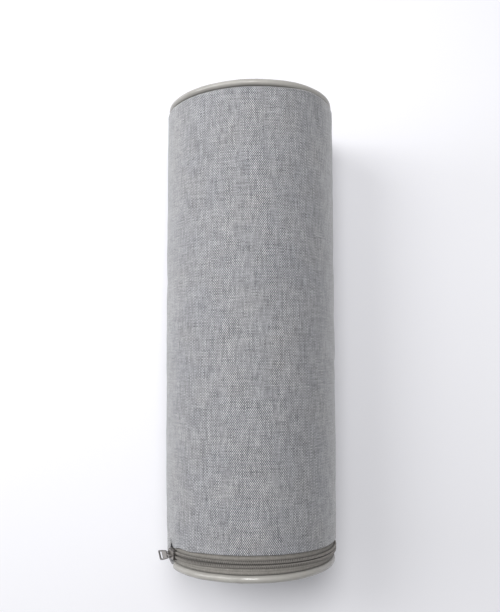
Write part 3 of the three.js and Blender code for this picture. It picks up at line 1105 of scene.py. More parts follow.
@dataclass
class SettledCloth:
    """The small unevenness of the sleeve's cloth, from the cloth solver.

    A coarse tube of the cloth, sewn fast at both its ends and a little too wide for them, is
    pressed out from inside until its own stretch holds it. How far each of its points then
    stands off the round is kept, and the sleeve is laid by that.
    """

    roll: Roll
    starts: float = 195.5
    stops: float = -181.5
    columns: int = 132
    rows: int = 96
    frames: int = 20
    quality: int = 5
    point_mass: float = 0.05
    pressure: float = 4.0
    slack: float = 0.001
    drawn_in: float = 0.99
    uneven: Swell = Swell(0.3, 0.11, 17.0, 3.0)
    stretch: float = 20.0
    shear: float = 20.0 / 3
    stiffness: float = 2.0
    share: float = 0.8
    most: float = 0.6
    heights: dict[Step, float] = field(default_factory=dict)

    def tube(self) -> Shape:
        """Rolls the coarse tube, very slightly uneven to start with.

        Returns:
            The mesh.
        """

        def place(column: int, row: int) -> Vector:
            """Where a point of the tube starts.

            Args:
                column: Its column.
                row: Its row.

            Returns:
                The point, in metres.
            """
            turn = 360 * (column % self.columns) / self.columns
            along = blended(self.starts, self.stops, row / self.rows)
            radius = self.roll.radius * (self.drawn_in if row in (0, self.rows) else 1.0)
            radius += self.uneven.at(turn, along)
            angle = math.radians(turn)
            return Vector((radius * math.cos(angle), along, radius * math.sin(angle))) * MM

        return rolled(self.columns, self.rows, place, lambda column, row: (column, row))

    def step_of(self, place: Vector) -> Step:
        """The column and row of the tube that a point of it is nearest to.

        Args:
            place: The point, in metres.

        Returns:
            Its column and row.
        """
        turn = turn_of(place.x, place.z) % 360
        down = (self.starts - place.y / MM) / (self.starts - self.stops)
        return round(turn / 360 * self.columns) % self.columns, round(down * self.rows)

    def hung(self) -> Piece:
        """Puts the coarse tube in the scene, sewn fast at its ends and ready to be pressed out.

        Returns:
            The tube.
        """
        mesh = mesh_of("settling", self.tube())
        piece = in_scene("settling", mesh)
        sewn = piece.vertex_groups.new(name="sewn")
        ends = [v.index for v in mesh.vertices if self.step_of(v.co)[1] in (0, self.rows)]
        sewn.add(ends, 1.0, "REPLACE")
        solver = piece.modifiers.new("Cloth", "CLOTH")
        cloth = solver.settings
        cloth.quality = self.quality
        cloth.mass = self.point_mass
        cloth.tension_stiffness = cloth.compression_stiffness = self.stretch
        cloth.shear_stiffness = self.shear
        cloth.bending_stiffness = self.stiffness
        cloth.use_pressure = True
        cloth.uniform_pressure_force = self.pressure
        cloth.effector_weights.gravity = 0
        cloth.shrink_min = cloth.shrink_max = -self.slack
        cloth.vertex_group_mass = sewn.name
        solver.collision_settings.use_collision = False
        solver.point_cache.frame_start, solver.point_cache.frame_end = 1, self.frames
        return piece

    def settle(self) -> "SettledCloth":
        """Runs the solver, reads the heights off the cloth and takes it away again.

        Returns:
            This cloth.
        """
        piece = self.hung()
        mesh = piece.data
        steps = [self.step_of(vertex.co) for vertex in mesh.vertices]
        scene = bpy.context.scene
        for frame_number in range(1, self.frames + 1):
            scene.frame_set(frame_number)
        settled = piece.evaluated_get(bpy.context.evaluated_depsgraph_get()).data
        radii = {step: math.hypot(v.co.x, v.co.z) / MM for step, v in zip(steps, settled.vertices)}
        scene.frame_set(1)
        bpy.data.objects.remove(piece)
        bpy.data.meshes.remove(mesh)
        for row in range(self.rows + 1):
            ring = [radii[column, row] for column in range(self.columns)]
            mean = sum(ring) / self.columns
            for column, radius in enumerate(ring):
                height = self.share * (radius - mean)
                self.heights[column, row] = max(-self.most, min(self.most, height))
        LOG.info("cloth settled: %.2f to %.2f mm", min(self.heights.values()), max(self.heights.values()))
        return self

    def height(self, turn: float, along: float) -> float:
        """How far the settled cloth stands off the round at a place, between its points.

        Args:
            turn: Round the roll, in degrees.
            along: From the roll's middle.

        Returns:
            The height, or 0 off the tube.
        """
        down = (self.starts - along) / (self.starts - self.stops) * self.rows
        if not self.heights or not 0 <= down < self.rows:
            return 0.0
        on = (turn % 360) / 360 * self.columns
        column, row = int(on), int(down)
        beside = (column + 1) % self.columns
        column %= self.columns
        upper = blended(self.heights[column, row], self.heights[beside, row], on % 1)
        lower = blended(self.heights[column, row + 1], self.heights[beside, row + 1], on % 1)
        return blended(upper, lower, down % 1)


@dataclass(frozen=True)
class Puckers:
    """How the sleeve's cloth puckers beside its seams."""

    depth: float = 0.42
    mean: float = 0.675
    strength: Swell = Swell(0.325, 0.35, seed=11.0)
    folds: tuple[Swell, ...] = (Swell(1.0, 0.075, 40.0, 5.0), Swell(0.6, 0.04, 25.0, 8.0))
    plain_line: float = Roll.sleeve_end - 1.5
    plain_reach: float = 6.5
    lip_line: float = 2.0 - Roll.sleeve_edge
    lip_reach: float = 5.0
    lip_share: float = 0.5
    groove_depth: float = 0.5
    groove_reach: float = 0.9
    beside: Swell = Swell(0.12, 1.0, 5.0, 2.0)
    beside_reach: float = 7.0

    def at(self, roll: Roll, turn: float, along: float) -> float:
        """How far they sink the cloth at a place.

        Args:
            roll: The roll.
            turn: Round the roll, in degrees.
            along: From the roll's middle.

        Returns:
            The depth.
        """
        to_plain = math.exp(-max(0.0, self.plain_line - along) / self.plain_reach)
        to_lip = self.lip_share * math.exp(-abs(along - self.lip_line) / self.lip_reach)
        strength = self.depth * (self.mean + self.strength.at(turn)) * (to_plain + to_lip)
        off_seam = math.radians(turn_between(turn, roll.seam_turn)) * roll.radius
        groove = self.groove_depth * bell(off_seam / self.groove_reach)
        beside = math.exp(-abs(off_seam) / self.beside_reach) * self.beside.at(0.0, along)
        return strength * sum(fold.at(turn, along) for fold in self.folds) + groove + beside


@dataclass(frozen=True)
class SleevePaintedShade:
    """Painted shade on what of the sleeve lies in its own shade, by how deep and how far along it is.

    That is the zip's channel, but for its foot; the channel's mouth beside the slider; the end
    seams; and the gap beside the piping's crossed ends.
    """

    channel_depths: Span = (2.4, 3.6)
    channel_alongs: Span = (174.0, 199.0)
    foot_alongs: Span = (195.8, 196.8)
    foot_light: float = 0.7
    mouth_turn: float = 156.0
    mouth_half: float = 4.0
    mouth_depths: Span = (0.9, 1.8)
    mouth_alongs: Span = (180.0, 195.0)
    seam: float = 0.28
    seam_alongs: Span = (194.4, 197.2)
    gap_turn: float = 159.0
    gap_reach: float = 7.0
    gap_ease: float = 2.0
    gap_alongs: Span = (194.5, 196.5)

    def in_channel(self, depth: float, turn: float, along: float) -> float:
        """How much painted shade a point of the channel or its mouth gets.

        Args:
            depth: How deep it lies.
            turn: Round the roll, in degrees.
            along: From the roll's middle.

        Returns:
            Its darkness, from 0 to 1.
        """
        near, far = self.mouth_alongs
        if near < -along < far and abs(turn_between(turn, self.mouth_turn)) < self.mouth_half:
            return smooth_step(depth, *self.mouth_depths)
        near, far = self.channel_alongs
        if not near < -along < far:
            return 0.0
        lit_foot = self.foot_light * smooth_step(-along, *self.foot_alongs)
        return smooth_step(depth, *self.channel_depths) * (1 - lit_foot)

    def at(self, depth: float, turn: float, along: float) -> float:
        """How much painted shade a point gets, from 0 to 1.

        Args:
            depth: How deep it lies.
            turn: Round the roll, in degrees.
            along: From the roll's middle.

        Returns:
            Its darkness.
        """
        in_seam = self.seam * smooth_step(abs(along), *self.seam_alongs)
        off_gap = abs(turn_between(turn, self.gap_turn)) - self.gap_reach
        in_gap = (1 - smooth_step(off_gap, 0, self.gap_ease)) * smooth_step(-along, *self.gap_alongs)
        return max(self.in_channel(depth, turn, along), in_seam, in_gap)


@dataclass
class Sleeve:
    """The filled sleeve: a rectangle of cloth rolled to a tube round its filling.

    Its rows run from the middle of the plain end to the middle of the zip end. Along the zip
    they turn under at a folded lip and run on down the channel that the zip lies in, and past
    the zip's two ends the same rows run straight on to the end seam.
    """

    roll: Roll
    cloth: SettledCloth
    puckers: Puckers = Puckers()
    shade: SleevePaintedShade = SleevePaintedShade()
    # the end seams
    corner: float = 3.0
    corner_steps: int = 7
    shoulder_rows: int = 13
    foot_inside: float = 2.4
    dome_inside: float = 3.65
    # the zip's channel and its folded lip
    zip_from: float = -52.6
    zip_to: float = 158.4
    mouth_reach: float = 7.6
    mouth_round: float = 2.4
    mouth_inside: float = 0.8
    mouth_most: float = 1.2
    mouth_ease: float = 0.5
    channel_floor: float = 71.9
    channel_end: float = 197.0
    end_wall: Spot = (71.1, -197.25)
    lip_inside: float = 73.5
    tuck: float = 6.5
    rows_from: float = 174.0
    run_rows: int = 8
    fold_rows: int = 6
    floor_rows: int = 9
    lip_moves: Span = (174.0, 181.0)
    lip_above: float = 73.0
    lip_bumps: tuple[Bump, ...] = (Bump(132.0, 7.0, 0.9), Bump(149.5, 4.0, 2.0), Bump(155.2, 1.5, -0.8))
    lip_uneven: Swell = Swell(0.22, 0.12, seed=21.0)
    # the spot where the cloth is gathered up against the piping
    outer_cloth: Span = (73.4, 74.4)
    gather: Bump = Bump(47.0, 15.0, 1.2)
    gather_grows: Span = (180.0, 195.0)
    turns: list[float] = field(init=False)

    def __post_init__(self) -> None:
        """Spaces the columns, closer at the seam and the zip's two ends."""
        start = self.roll.seam_turn
        self.turns = stepped(
            [
                (start, start + 3, 0.5),
                (start + 3, -57, 1.1),
                (-57, -48, 0.4),
                (-48, 150, 0.9),
                (150, 163, 0.4),
                (163, start + 357, 1.1),
                (start + 357, start + 360, 0.5),
            ]
        )

    def shoulder(self, end: End) -> list[Spot]:
        """The rounded corner into an end seam, from the run to the foot of the dome.

        Args:
            end: The end.

        Returns:
            The corner's points.
        """
        radius = self.roll.sleeve_radius(end.side * self.roll.sleeve_end)
        centre = (radius - self.corner, self.roll.sleeve_end - self.corner)
        foot = (end.piping_radius - self.foot_inside, self.roll.sleeve_end)
        return [(r, end.side * a) for r, a in arc(centre, self.corner, 0, 90, self.corner_steps) + [foot]]

    def dome(self, end: End) -> list[Spot]:
        """The filling behind an end disc, from its rim to the axis.

        Args:
            end: The end.

        Returns:
            The dome's points.
        """
        edge, roll = end.piping_radius - self.dome_inside, self.roll
        return [
            (edge * s, end.side * (roll.dome_edge + roll.dome_crown * (1 - s * s)))
            for s in (1, 0.75, 0.5, 0.25, 0)
        ]

    def lip(self) -> list[Spot]:
        """The folded edge, the zip's channel and its end wall, from the run inwards.

        Returns:
            The line's points.
        """
        edge, inside = self.roll.sleeve_edge, self.lip_inside
        outside = self.roll.sleeve_radius(-edge)
        fold = (outside - inside) / 2
        middle = (inside + fold, -(edge - fold))
        run = resampled([(outside, -self.rows_from), (outside, middle[1])], self.run_rows + 1)[:-1]
        turned = arc(middle, fold, 0, -180, self.fold_rows)
        tucked = -(edge - self.tuck)
        under = [(inside, blended(middle[1], tucked, s)) for s in (0.4, 0.8, 1.0)]
        shares = [step / self.floor_rows for step in range(self.floor_rows + 1)]
        floor = [(self.channel_floor, blended(tucked, -self.channel_end, s)) for s in shares]
        foot = (self.roll.zipped.piping_radius - self.foot_inside, -self.roll.sleeve_end)
        return run + turned + under + floor + [self.end_wall, foot]

    def zip_section(self) -> tuple[list[Spot], list[Spot]]:
        """The rows of the zip end, with the channel and without it.

        Returns:
            The two lines, with as many points each.
        """
        open_rows = self.lip()
        start = (self.roll.sleeve_radius(-self.rows_from), -self.rows_from)
        return open_rows, resampled([start] + self.shoulder(self.roll.zipped), len(open_rows))

    def opened(self, turn: float, along: float) -> float:
        """1 inside the zip's channel and 0 outside, with rounded ends to it.

        Args:
            turn: Round the roll, in degrees.
            along: From the roll's middle.

        Returns:
            How far it is open.
        """
        off_line = (-along - self.roll.zip_line - self.mouth_inside) / self.mouth_reach
        drawn, ease = self.mouth_round * min(self.mouth_most, off_line**2), self.mouth_ease
        past_end = smooth_step(turn, self.zip_to - drawn - ease, self.zip_to - drawn + ease)
        past_start = smooth_step(turn, self.zip_from + drawn - ease, self.zip_from + drawn + ease)
        return past_start * (1 - past_end)

    def gathered(self, turn: float, along: float) -> float:
        """How far the cloth is gathered up against the piping at one spot of the plain end."""
        return self.gather.at(turn) * smooth_step(along, *self.gather_grows)

    def lip_wander(self, turn: float) -> float:
        """How far the lip runs on over the zip: never quite even, and open above the slider."""
        return sum(bump.at(turn) for bump in self.lip_bumps) + self.lip_uneven.at(turn)

    def build(self) -> Shape:
        """Rolls the cloth and closes it over its filling.

        Returns:
            The mesh.
        """
        roll = self.roll
        runs = stepped([(191, 176, 0.9), (176, 150, 2.0), (150, -150, 4.2), (-150, -self.rows_from, 1.6)])
        shoulder = self.shoulder(roll.plain)[::-1] + [(roll.radius, runs[0])]
        plain_end = self.dome(roll.plain)[::-1] + resampled(shoulder, self.shoulder_rows)
        head = plain_end[:-1] + [(roll.sleeve_radius(a), a) for a in runs[:-1]]
        open_rows, plain_rows = self.zip_section()
        foot = self.dome(roll.zipped)
        opened_line, closed_line = head + open_rows + foot, head + plain_rows + foot
        opened_length, closed_length = lengths_from(opened_line), lengths_from(closed_line)
        last_turn, rows = len(self.turns) - 1, len(opened_line) - 1
        zip_rows = range(len(head), len(head) + len(open_rows))

        def share(column: int, row: int) -> float:
            """How far the zip's channel is open there."""
            along = closed_line[row][1]
            return self.opened(self.turns[column % last_turn], along) if row in zip_rows else 0.0

        def place(column: int, row: int) -> Vector:
            """Where a point of the cloth lies once it is sewn and filled.

            Args:
                column: Its column.
                row: Its row.

            Returns:
                The point, in metres.
            """
            turn = self.turns[column % last_turn]
            inside = share(column, row)
            radius, along = (blended(c, o, inside) for c, o in zip(closed_line[row], opened_line[row]))
            if row in zip_rows and radius > self.lip_above:
                along -= self.lip_wander(turn) * inside * smooth_step(-along, *self.lip_moves)
            on_top = smooth_step(radius, *self.outer_cloth)
            gathered = self.gathered(turn, along) * on_top
            off_round = self.cloth.height(turn, along) - self.puckers.at(roll, turn, along)
            radius += off_round * on_top + gathered
            along += gathered
            return roll.place(radius, turn, along)

        def flat(column: int, row: int) -> Pair:
            """Where it lay on the flat cloth."""
            turned = math.radians(self.turns[column] - roll.seam_turn) * roll.radius
            return turned * MM, blended(closed_length[row], opened_length[row], share(column, row)) * MM

        bm = rolled(last_turn, rows, place, flat)
        self.map_for_bake(bm, closed_length[-1] * MM)
        return shade_marked(bm, roll, lambda r, turn, along: self.shade.at(roll.radius - r, turn, along))

    def map_for_bake(self, bm: Shape, length: float) -> None:
        """Adds the flat cloth as a map that fills a square.

        Args:
            bm: The sleeve's mesh.
            length: The cloth's length, in metres.
        """
        square = bm.loops.layers.uv.new(BAKE_MAP)
        cloth = bm.loops.layers.uv[CLOTH_MAP]
        girth = math.tau * self.roll.radius * MM
        for face in bm.faces:
            for loop in face.loops:
                across, along = loop[cloth].uv
                loop[square].uv = (across / girth, min(1.0, along / length))

    def dress(self) -> Piece:
        """Returns:
            The sleeve.
        """
        piece = finished("linen_sleeve", self.build(), Finish.LINEN, "filled_sleeve")
        return piece


@dataclass
class EndPanel:
    """The round cloth panel that closes one end, sewn in along the piping."""

    roll: Roll
    end: End
    name: str
    node: str
    thickness: float = 1.3
    edge_gap: float = 0.5
    off_filling: float = 0.95
    rings: int = 26
    crowding: float = 1.5
    steps: int = 320
    pucker_depth: float = 0.35
    pucker_reach: float = 7.0
    pucker_grows: Span = (0.4, 0.9)
    uneven_depth: float = 0.25
    uneven_grain: float = 24.0
    uneven_seed: float = 90.0

    @property
    def radius(self) -> float:
        """The panel's radius, up to the piping."""
        return self.end.piping_radius - self.end.cord - self.edge_gap

    def laid(self, radius: float, turn: float) -> Vector:
        """Where a point of the flat panel lies once it is sewn in and filled.

        Args:
            radius: From the panel's middle.
            turn: Round the roll, in degrees.

        Returns:
            The point, in metres.
        """
        share, side, angle = radius / self.radius, self.end.side, math.radians(turn)
        crown = self.roll.dome_edge + self.off_filling + self.roll.dome_crown * (1 - share**2)
        to_seam = math.exp(-(self.radius - radius) / self.pucker_reach)
        folds = Swell(depth=1.0, grain=0.09, seed=side * 4.0).at(turn, share)
        folds += Swell(depth=0.5, grain=0.045, seed=6.0).at(turn, share)
        spot = Vector((radius * math.cos(angle), radius * math.sin(angle), side * self.uneven_seed))
        soft = noise.noise(spot / self.uneven_grain) * (1 - share**4)
        puckers = self.pucker_depth * to_seam * folds * smooth_step(share, *self.pucker_grows)
        along = crown + puckers + self.uneven_depth * soft
        return self.roll.place(radius, turn, side * along, self.end.rim)

    def build(self) -> Shape:
        """Spins a radius into a disc, and lays it over the filling.

        Returns:
            The mesh.
        """
        bm = bmesh.new()
        shares = [1 - (1 - i / self.rings) ** self.crowding for i in range(self.rings + 1)]
        line = [bm.verts.new((self.radius * share, 0, 0)) for share in shares]
        edges = [bm.edges.new(pair) for pair in zip(line, line[1:])]
        bmesh.ops.spin(
            bm, geom=line + edges, cent=(0, 0, 0), axis=(0, -1, 0), dvec=(0, 0, 0), angle=math.tau,
            steps=self.steps, use_merge=True, use_duplicate=False,
        )
        bmesh.ops.remove_doubles(bm, verts=bm.verts, dist=MERGE)
        cloth = bm.loops.layers.uv.new(CLOTH_MAP)
        for face in bm.faces:
            for loop in face.loops:
                loop[cloth].uv = loop.vert.co.x * MM, loop.vert.co.z * MM
        for vertex in bm.verts:
            across, _, up = vertex.co
            vertex.co = self.laid(math.hypot(across, up), turn_of(across, up))
        bm.normal_update()
        if sum(face.normal.y for face in bm.faces) * self.end.side < 0:
            bmesh.ops.reverse_faces(bm, faces=bm.faces)
        return bm

    def dress(self) -> Piece:
        """Makes the panel, with its thickness.

        Returns:
            The panel.
        """
        piece = thickened(finished(self.name, self.build(), Finish.LINEN, self.node), self.thickness)
        across = 2 * self.radius * MM
        math.pi * (across / 2) ** 2
        return piece


@dataclass(frozen=True)
class CordEnd:
    """One end of a piping cord: how it thins out and slips into the seam.

    It is whole until reach degrees from its tip, and at the tip it has sunk towards the axis
    and slid towards the sleeve by these millimetres.
    """

    turn: float
    reach: float
    sinks: float
    slides: float
    thins: float = 0.85

    def drawn(self, turn: float) -> float:
        """How near the tip a turn is, from 0 to 1 at the tip."""
        return 1 - smooth_step(abs(turn_between(turn, self.turn)), 0, self.reach)


@dataclass
class Piping:
    """A cord covered in coated cloth, sewn round one end.

    It is one ring, or runs from its first end round the roll to its last. Its flange is where
    the cover's two edges come together towards the seam. Gutter and rim are how much painted
    shade darkens the cover beside the sleeve and along its outermost line.
    """

    roll: Roll
    end: End
    name: str
    node: str
    join: float = -100.0
    ends: tuple[CordEnd, CordEnd] | None = None
    # painted shade beside the sleeve, and along the cover's outermost line
    gutter: float = 0.05
    rim: float = 0.0
    plane: float = 201.0
    sides: int = 20
    steps: int = 460
    flange: float = 0.9
    flange_angle: float = 215.0
    flange_narrows: int = 6
    wrinkles: Swell = Swell(0.07, 0.03, 400.0, 1.0)
    creases: Swell = Swell(0.12, 0.12, 300.0, 2.0)
    waver_depth: float = 0.3
    waver_grain: float = 0.3
    gutter_inwards: Span = (0.1, 0.9)
    rim_outwards: Span = (0.7, 0.95)
    tuck_inwards: Span = (-0.9, -0.1)
    tuck_starts: Span = (153.0, 156.0)
    tuck_stops: Span = (172.0, 184.0)

    def section(self, turn: float, angle: float, near: CordEnd | None) -> Vector:
        """A point of the covered cord.

        Args:
            turn: Where round the roll.
            angle: Round the cord, 0 outwards and 90 away from the roll's middle.
            near: The cord's nearer end, if it has ends.

        Returns:
            The point, in metres.
        """
        around = math.radians(angle)
        facing = max(0.0, math.cos(around - math.radians(self.flange_angle)))
        uneven = self.wrinkles.at(turn, angle) + self.creases.at(turn, angle)
        thick = self.end.cord + self.flange * facing**self.flange_narrows + uneven
        radius = self.end.piping_radius
        along = self.plane + Swell(self.waver_depth, self.waver_grain, seed=self.end.side * 7.0).at(turn)
        if near:
            drawn = near.drawn(turn)
            thick *= 1 - near.thins * drawn
            radius -= near.sinks * drawn
            along -= near.slides * drawn
        radius += thick * math.cos(around)
        along += thick * math.sin(around)
        return self.roll.place(radius, turn, self.end.side * along, self.end.rim)

    def build(self) -> Shape:
        """Rolls the cover round the cord, and the cord round the end.

        Returns:
            The mesh.
        """
        start, finish = (self.ends[0].turn, self.ends[1].turn) if self.ends else (self.join, self.join)
        whole = 360 + finish - start

        def near(column: int) -> CordEnd | None:
            """The cord's end that a column is nearer to."""
            return self.ends[0 if 2 * column < self.steps else 1] if self.ends else None

        def place(column: int, row: int) -> Vector:
            """A point of the cover, whose edges meet on the cord's inner side."""
            turn = start + whole * column / self.steps
            return self.section(turn, 180 + 360 * (row % self.sides) / self.sides, near(column))

        def flat(column: int, row: int) -> Pair:
            """Where it lay on the flat strip of the cover."""
            length = math.tau * self.end.piping_radius * column / self.steps
            return length * MM, math.tau * self.end.cord * row / self.sides * MM

        bm = rolled(self.steps, self.sides, place, flat)
        bmesh.ops.holes_fill(bm, edges=bm.edges, sides=0)
        bmesh.ops.recalc_face_normals(bm, faces=bm.faces)
        return shade_marked(bm, self.roll, self.shade)

    def shade(self, _: float, turn: float, along: float) -> float:
        """Painted shade on the cover: in its gutter, along its outermost line and at its tucked ends.

        Args:
            _: The point's radius, which changes nothing.
            turn: Round the roll, in degrees.
            along: From the roll's middle.

        Returns:
            The darkness, from 0 to 1.
        """
        inwards = (self.plane - abs(along)) / self.end.cord
        in_gutter = self.gutter * smooth_step(inwards, *self.gutter_inwards)
        on_rim = self.rim * smooth_step(-inwards, *self.rim_outwards)
        if not self.ends:
            return max(in_gutter, on_rim)
        tucked = smooth_step(turn % 360, *self.tuck_starts) * (1 - smooth_step(turn % 360, *self.tuck_stops))
        return max(in_gutter, on_rim, tucked * smooth_step(inwards, *self.tuck_inwards))

    def dress(self) -> Piece:
        """Makes the piping."""
        return finished(self.name, self.build(), Finish.PIPING, self.node)


# ---------------------------------------------------------------------------- the zip


class Row(Enum):
    """The zip's two halves, by which way each lies from the line where they meet."""

    SLEEVE = 1
    END = -1


@dataclass(frozen=True)
class ZipRun:
    """Where the zip lies on the roll."""

    roll: Roll
    tape_from: float = -51.5
    tape_to: float = 154.6
    tape_middle: float = 72.7
    tape_thickness: float = 0.9
    tape_width: float = 13.0
    coil_middle: float = 74.4
    row_gap: float = 0.15

    def length(self, radius: float) -> float:
        """The zip's length at a radius."""
        return math.radians(self.tape_to - self.tape_from) * radius

    def turn_at(self, travelled: float, radius: float) -> float:
        """The turn at a length along the zip, at a radius."""
        return self.tape_from + math.degrees(travelled / radius)


@dataclass
class ZipTape:
    """One half of the zip's tape: a woven strip, sewn in along its outer edge."""

    run: ZipRun
    row: Row
    outer: float
    name: str
    node: str
    columns: int = 230
    rows: int = 14
    ripple_depth: float = 0.02
    ripple_grain: float = 0.1
    ripple_stretch: float = 30.0

    def build(self) -> Shape:
        """Lays the strip round the roll.

        Returns:
            The mesh.
        """
        run = self.run
        inner = -run.roll.zip_line + self.row.value * run.row_gap
        high, low = max(inner, -self.outer), min(inner, -self.outer)
        waves = Swell(self.ripple_depth, self.ripple_grain, self.ripple_stretch, self.row.value * 3.0)

        def place(column: int, row: int) -> Vector:
            """Where a point of the tape lies, rippling more the further it is from the coil.

            Args:
                column: Its column.
                row: Its row.

            Returns:
                The point, in metres.
            """
            turn = blended(run.tape_from, run.tape_to, column / self.columns)
            along = blended(high, low, row / self.rows)
            rippled = abs(along + run.roll.zip_line) * waves.at(turn, along)
            return run.roll.place(run.tape_middle + rippled, turn, along)

        def flat(column: int, row: int) -> Pair:
            """Where it lay on the flat tape."""
            length = run.length(run.tape_middle) * column / self.columns
            return length * MM, blended(high, low, row / self.rows) * MM

        return rolled(self.columns, self.rows, place, flat)

    def dress(self) -> Piece:
        """Makes the tape, with its thickness.

        Returns:
            The tape.
        """
        run = self.run
        piece = thickened(finished(self.name, self.build(), Finish.TAPE, self.node), run.tape_thickness)
        shown = (abs(self.outer - run.roll.zip_line) - run.row_gap) * MM
        length = run.length(run.tape_middle) * MM
        whole = run.tape_width * MM
        shown * length if shown < whole else None
        return piece


@dataclass
class ZipCoil:
    """One half of the coil: a nylon wire wound along its tape's edge.

    Each turn reaches out over the tape and in to the other row. It is flattened at both, and
    leans a little as it rises.
    """

    run: ZipRun
    row: Row
    name: str
    node: str
    pitch: float = 1.6
    wire: float = 0.36
    sides: int = 6
    steps_a_turn: int = 12
    reach_out: float = 0.78
    reach_in: float = 0.85
    rise: float = 0.54
    flattening: float = 0.75
    lean: float = 0.06
    first: float = 0.25

    def build(self) -> Shape:
        """Winds the wire, half a turn out of step with the other row.

        Returns:
            The mesh.
        """
        run = self.run
        windings = int(run.length(run.coil_middle) / self.pitch) - 1
        middle = -run.roll.zip_line + self.row.value * (run.row_gap + run.roll.coil_width / 2)
        lag = 0.5 if self.row is Row.END else 0.0
        path = []
        for step in range(windings * self.steps_a_turn + 1):
            phase = step / self.steps_a_turn
            angle = math.tau * phase
            over = math.copysign(abs(math.cos(angle)) ** self.flattening, math.cos(angle))
            travelled = (phase + lag + self.first + self.lean * math.sin(2 * angle)) * self.pitch
            along = middle + self.row.value * over * (self.reach_out if over > 0 else self.reach_in)
            radius = run.coil_middle + self.rise * math.sin(angle)
            path.append(run.roll.place(radius, run.turn_at(travelled, run.coil_middle), along))
        return tube(path, self.wire * MM, self.sides)

    def dress(self) -> Piece:
        """Makes the coil's row."""
        return finished(self.name, self.build(), Finish.COIL, self.node)


@dataclass
class Stitching:
    """A row of short stitches along the zip, none set or turned quite like the next."""

    run: ZipRun
    name: str
    along: float
    radius: float
    pitch: float
    length: float
    wander: Callable[[float], float] | None = None
    thread: float = 0.17
    uneven: float = 0.08
    sway: float = 5.0

    def build(self) -> Shape:
        """Sets each stitch on the roll, as a grain of thread that dips at both ends.

        Returns:
            The mesh.
        """
        bm = bmesh.new()
        run = self.run
        draw = random.Random(self.name)
        lying = Matrix.Rotation(math.pi / 2, 4, "Y")
        size = Matrix.Diagonal((self.length / 2, self.thread, self.thread, 1))
        for i in range(int(run.length(self.radius) / self.pitch)):
            travelled = (i + 0.5 + draw.uniform(-self.uneven, self.uneven)) * self.pitch
            turn = run.turn_at(travelled, self.radius)
            along = self.along - (self.wander(turn) if self.wander else 0.0)
            seat = run.roll.seat(self.radius, turn, along)
            turned = Matrix.Rotation(math.radians(draw.uniform(-self.sway, self.sway)), 4, "Z")
            placed = seat @ turned @ size @ lying
            bmesh.ops.create_uvsphere(bm, u_segments=8, v_segments=6, radius=1, matrix=placed)
        return bm

    def dress(self) -> Piece:
        """Makes the row of stitches."""
        return finished(self.name, self.build(), Finish.THREAD)


@dataclass(frozen=True)
class Station:
    """A line across a plate: its half width, and that of the opening that starts there."""

    reach: float
    half_width: float
    half_opening: float
    opens: bool = False


def cut_plate(stations: Sequence[Station], thickness: float, top: float) -> Shape:
    """Cuts a flat plate with openings down its middle.

    Args:
        stations: The lines across it, in order.
        thickness: Its thickness.
        top: The height of its upper face.

    Returns:
        The closed plate, with its corners still square.
    """
    bm, steps = gridded(len(stations) - 1, 3)
    holes = []
    for face in bm.faces:
        column, lane = (min(steps[vertex][axis] for vertex in face.verts) for axis in (0, 1))
        if lane == 1 and stations[column].opens:
            holes.append(face)
    for vertex, (column, lane) in steps.items():
        station = stations[column]
        sides = (-station.half_width, -station.half_opening, station.half_opening, station.half_width)
        vertex.co = (station.reach, sides[lane], 0)
    bmesh.ops.delete(bm, geom=holes, context="FACES_ONLY")
    walled(bm, thickness)
    bmesh.ops.translate(bm, verts=bm.verts, vec=(0, 0, top - max(v.co.z for v in bm.verts)))
    return bm


def sharp_edges(bm: Shape, least: float = 35.0) -> list[bmesh.types.BMEdge]:
    """The edges where two faces meet at more than least degrees."""
    bm.normal_update()
    return [e for e in bm.edges if e.is_manifold and e.calc_face_angle() > math.radians(least)]


def softened(bm: Shape, edge: float) -> Shape:
    """Rounds every sharp edge, and marks the rounding as where paint wears and painted shade darkens it.

    Args:
        bm: The shape.
        edge: How wide the rounding is.

    Returns:
        The shape.
    """
    mark = bm.verts.layers.float.new("edge")
    for vertex in rounded(bm, sharp_edges(bm), edge, 2):
        vertex[mark] = 1.0
    return bm


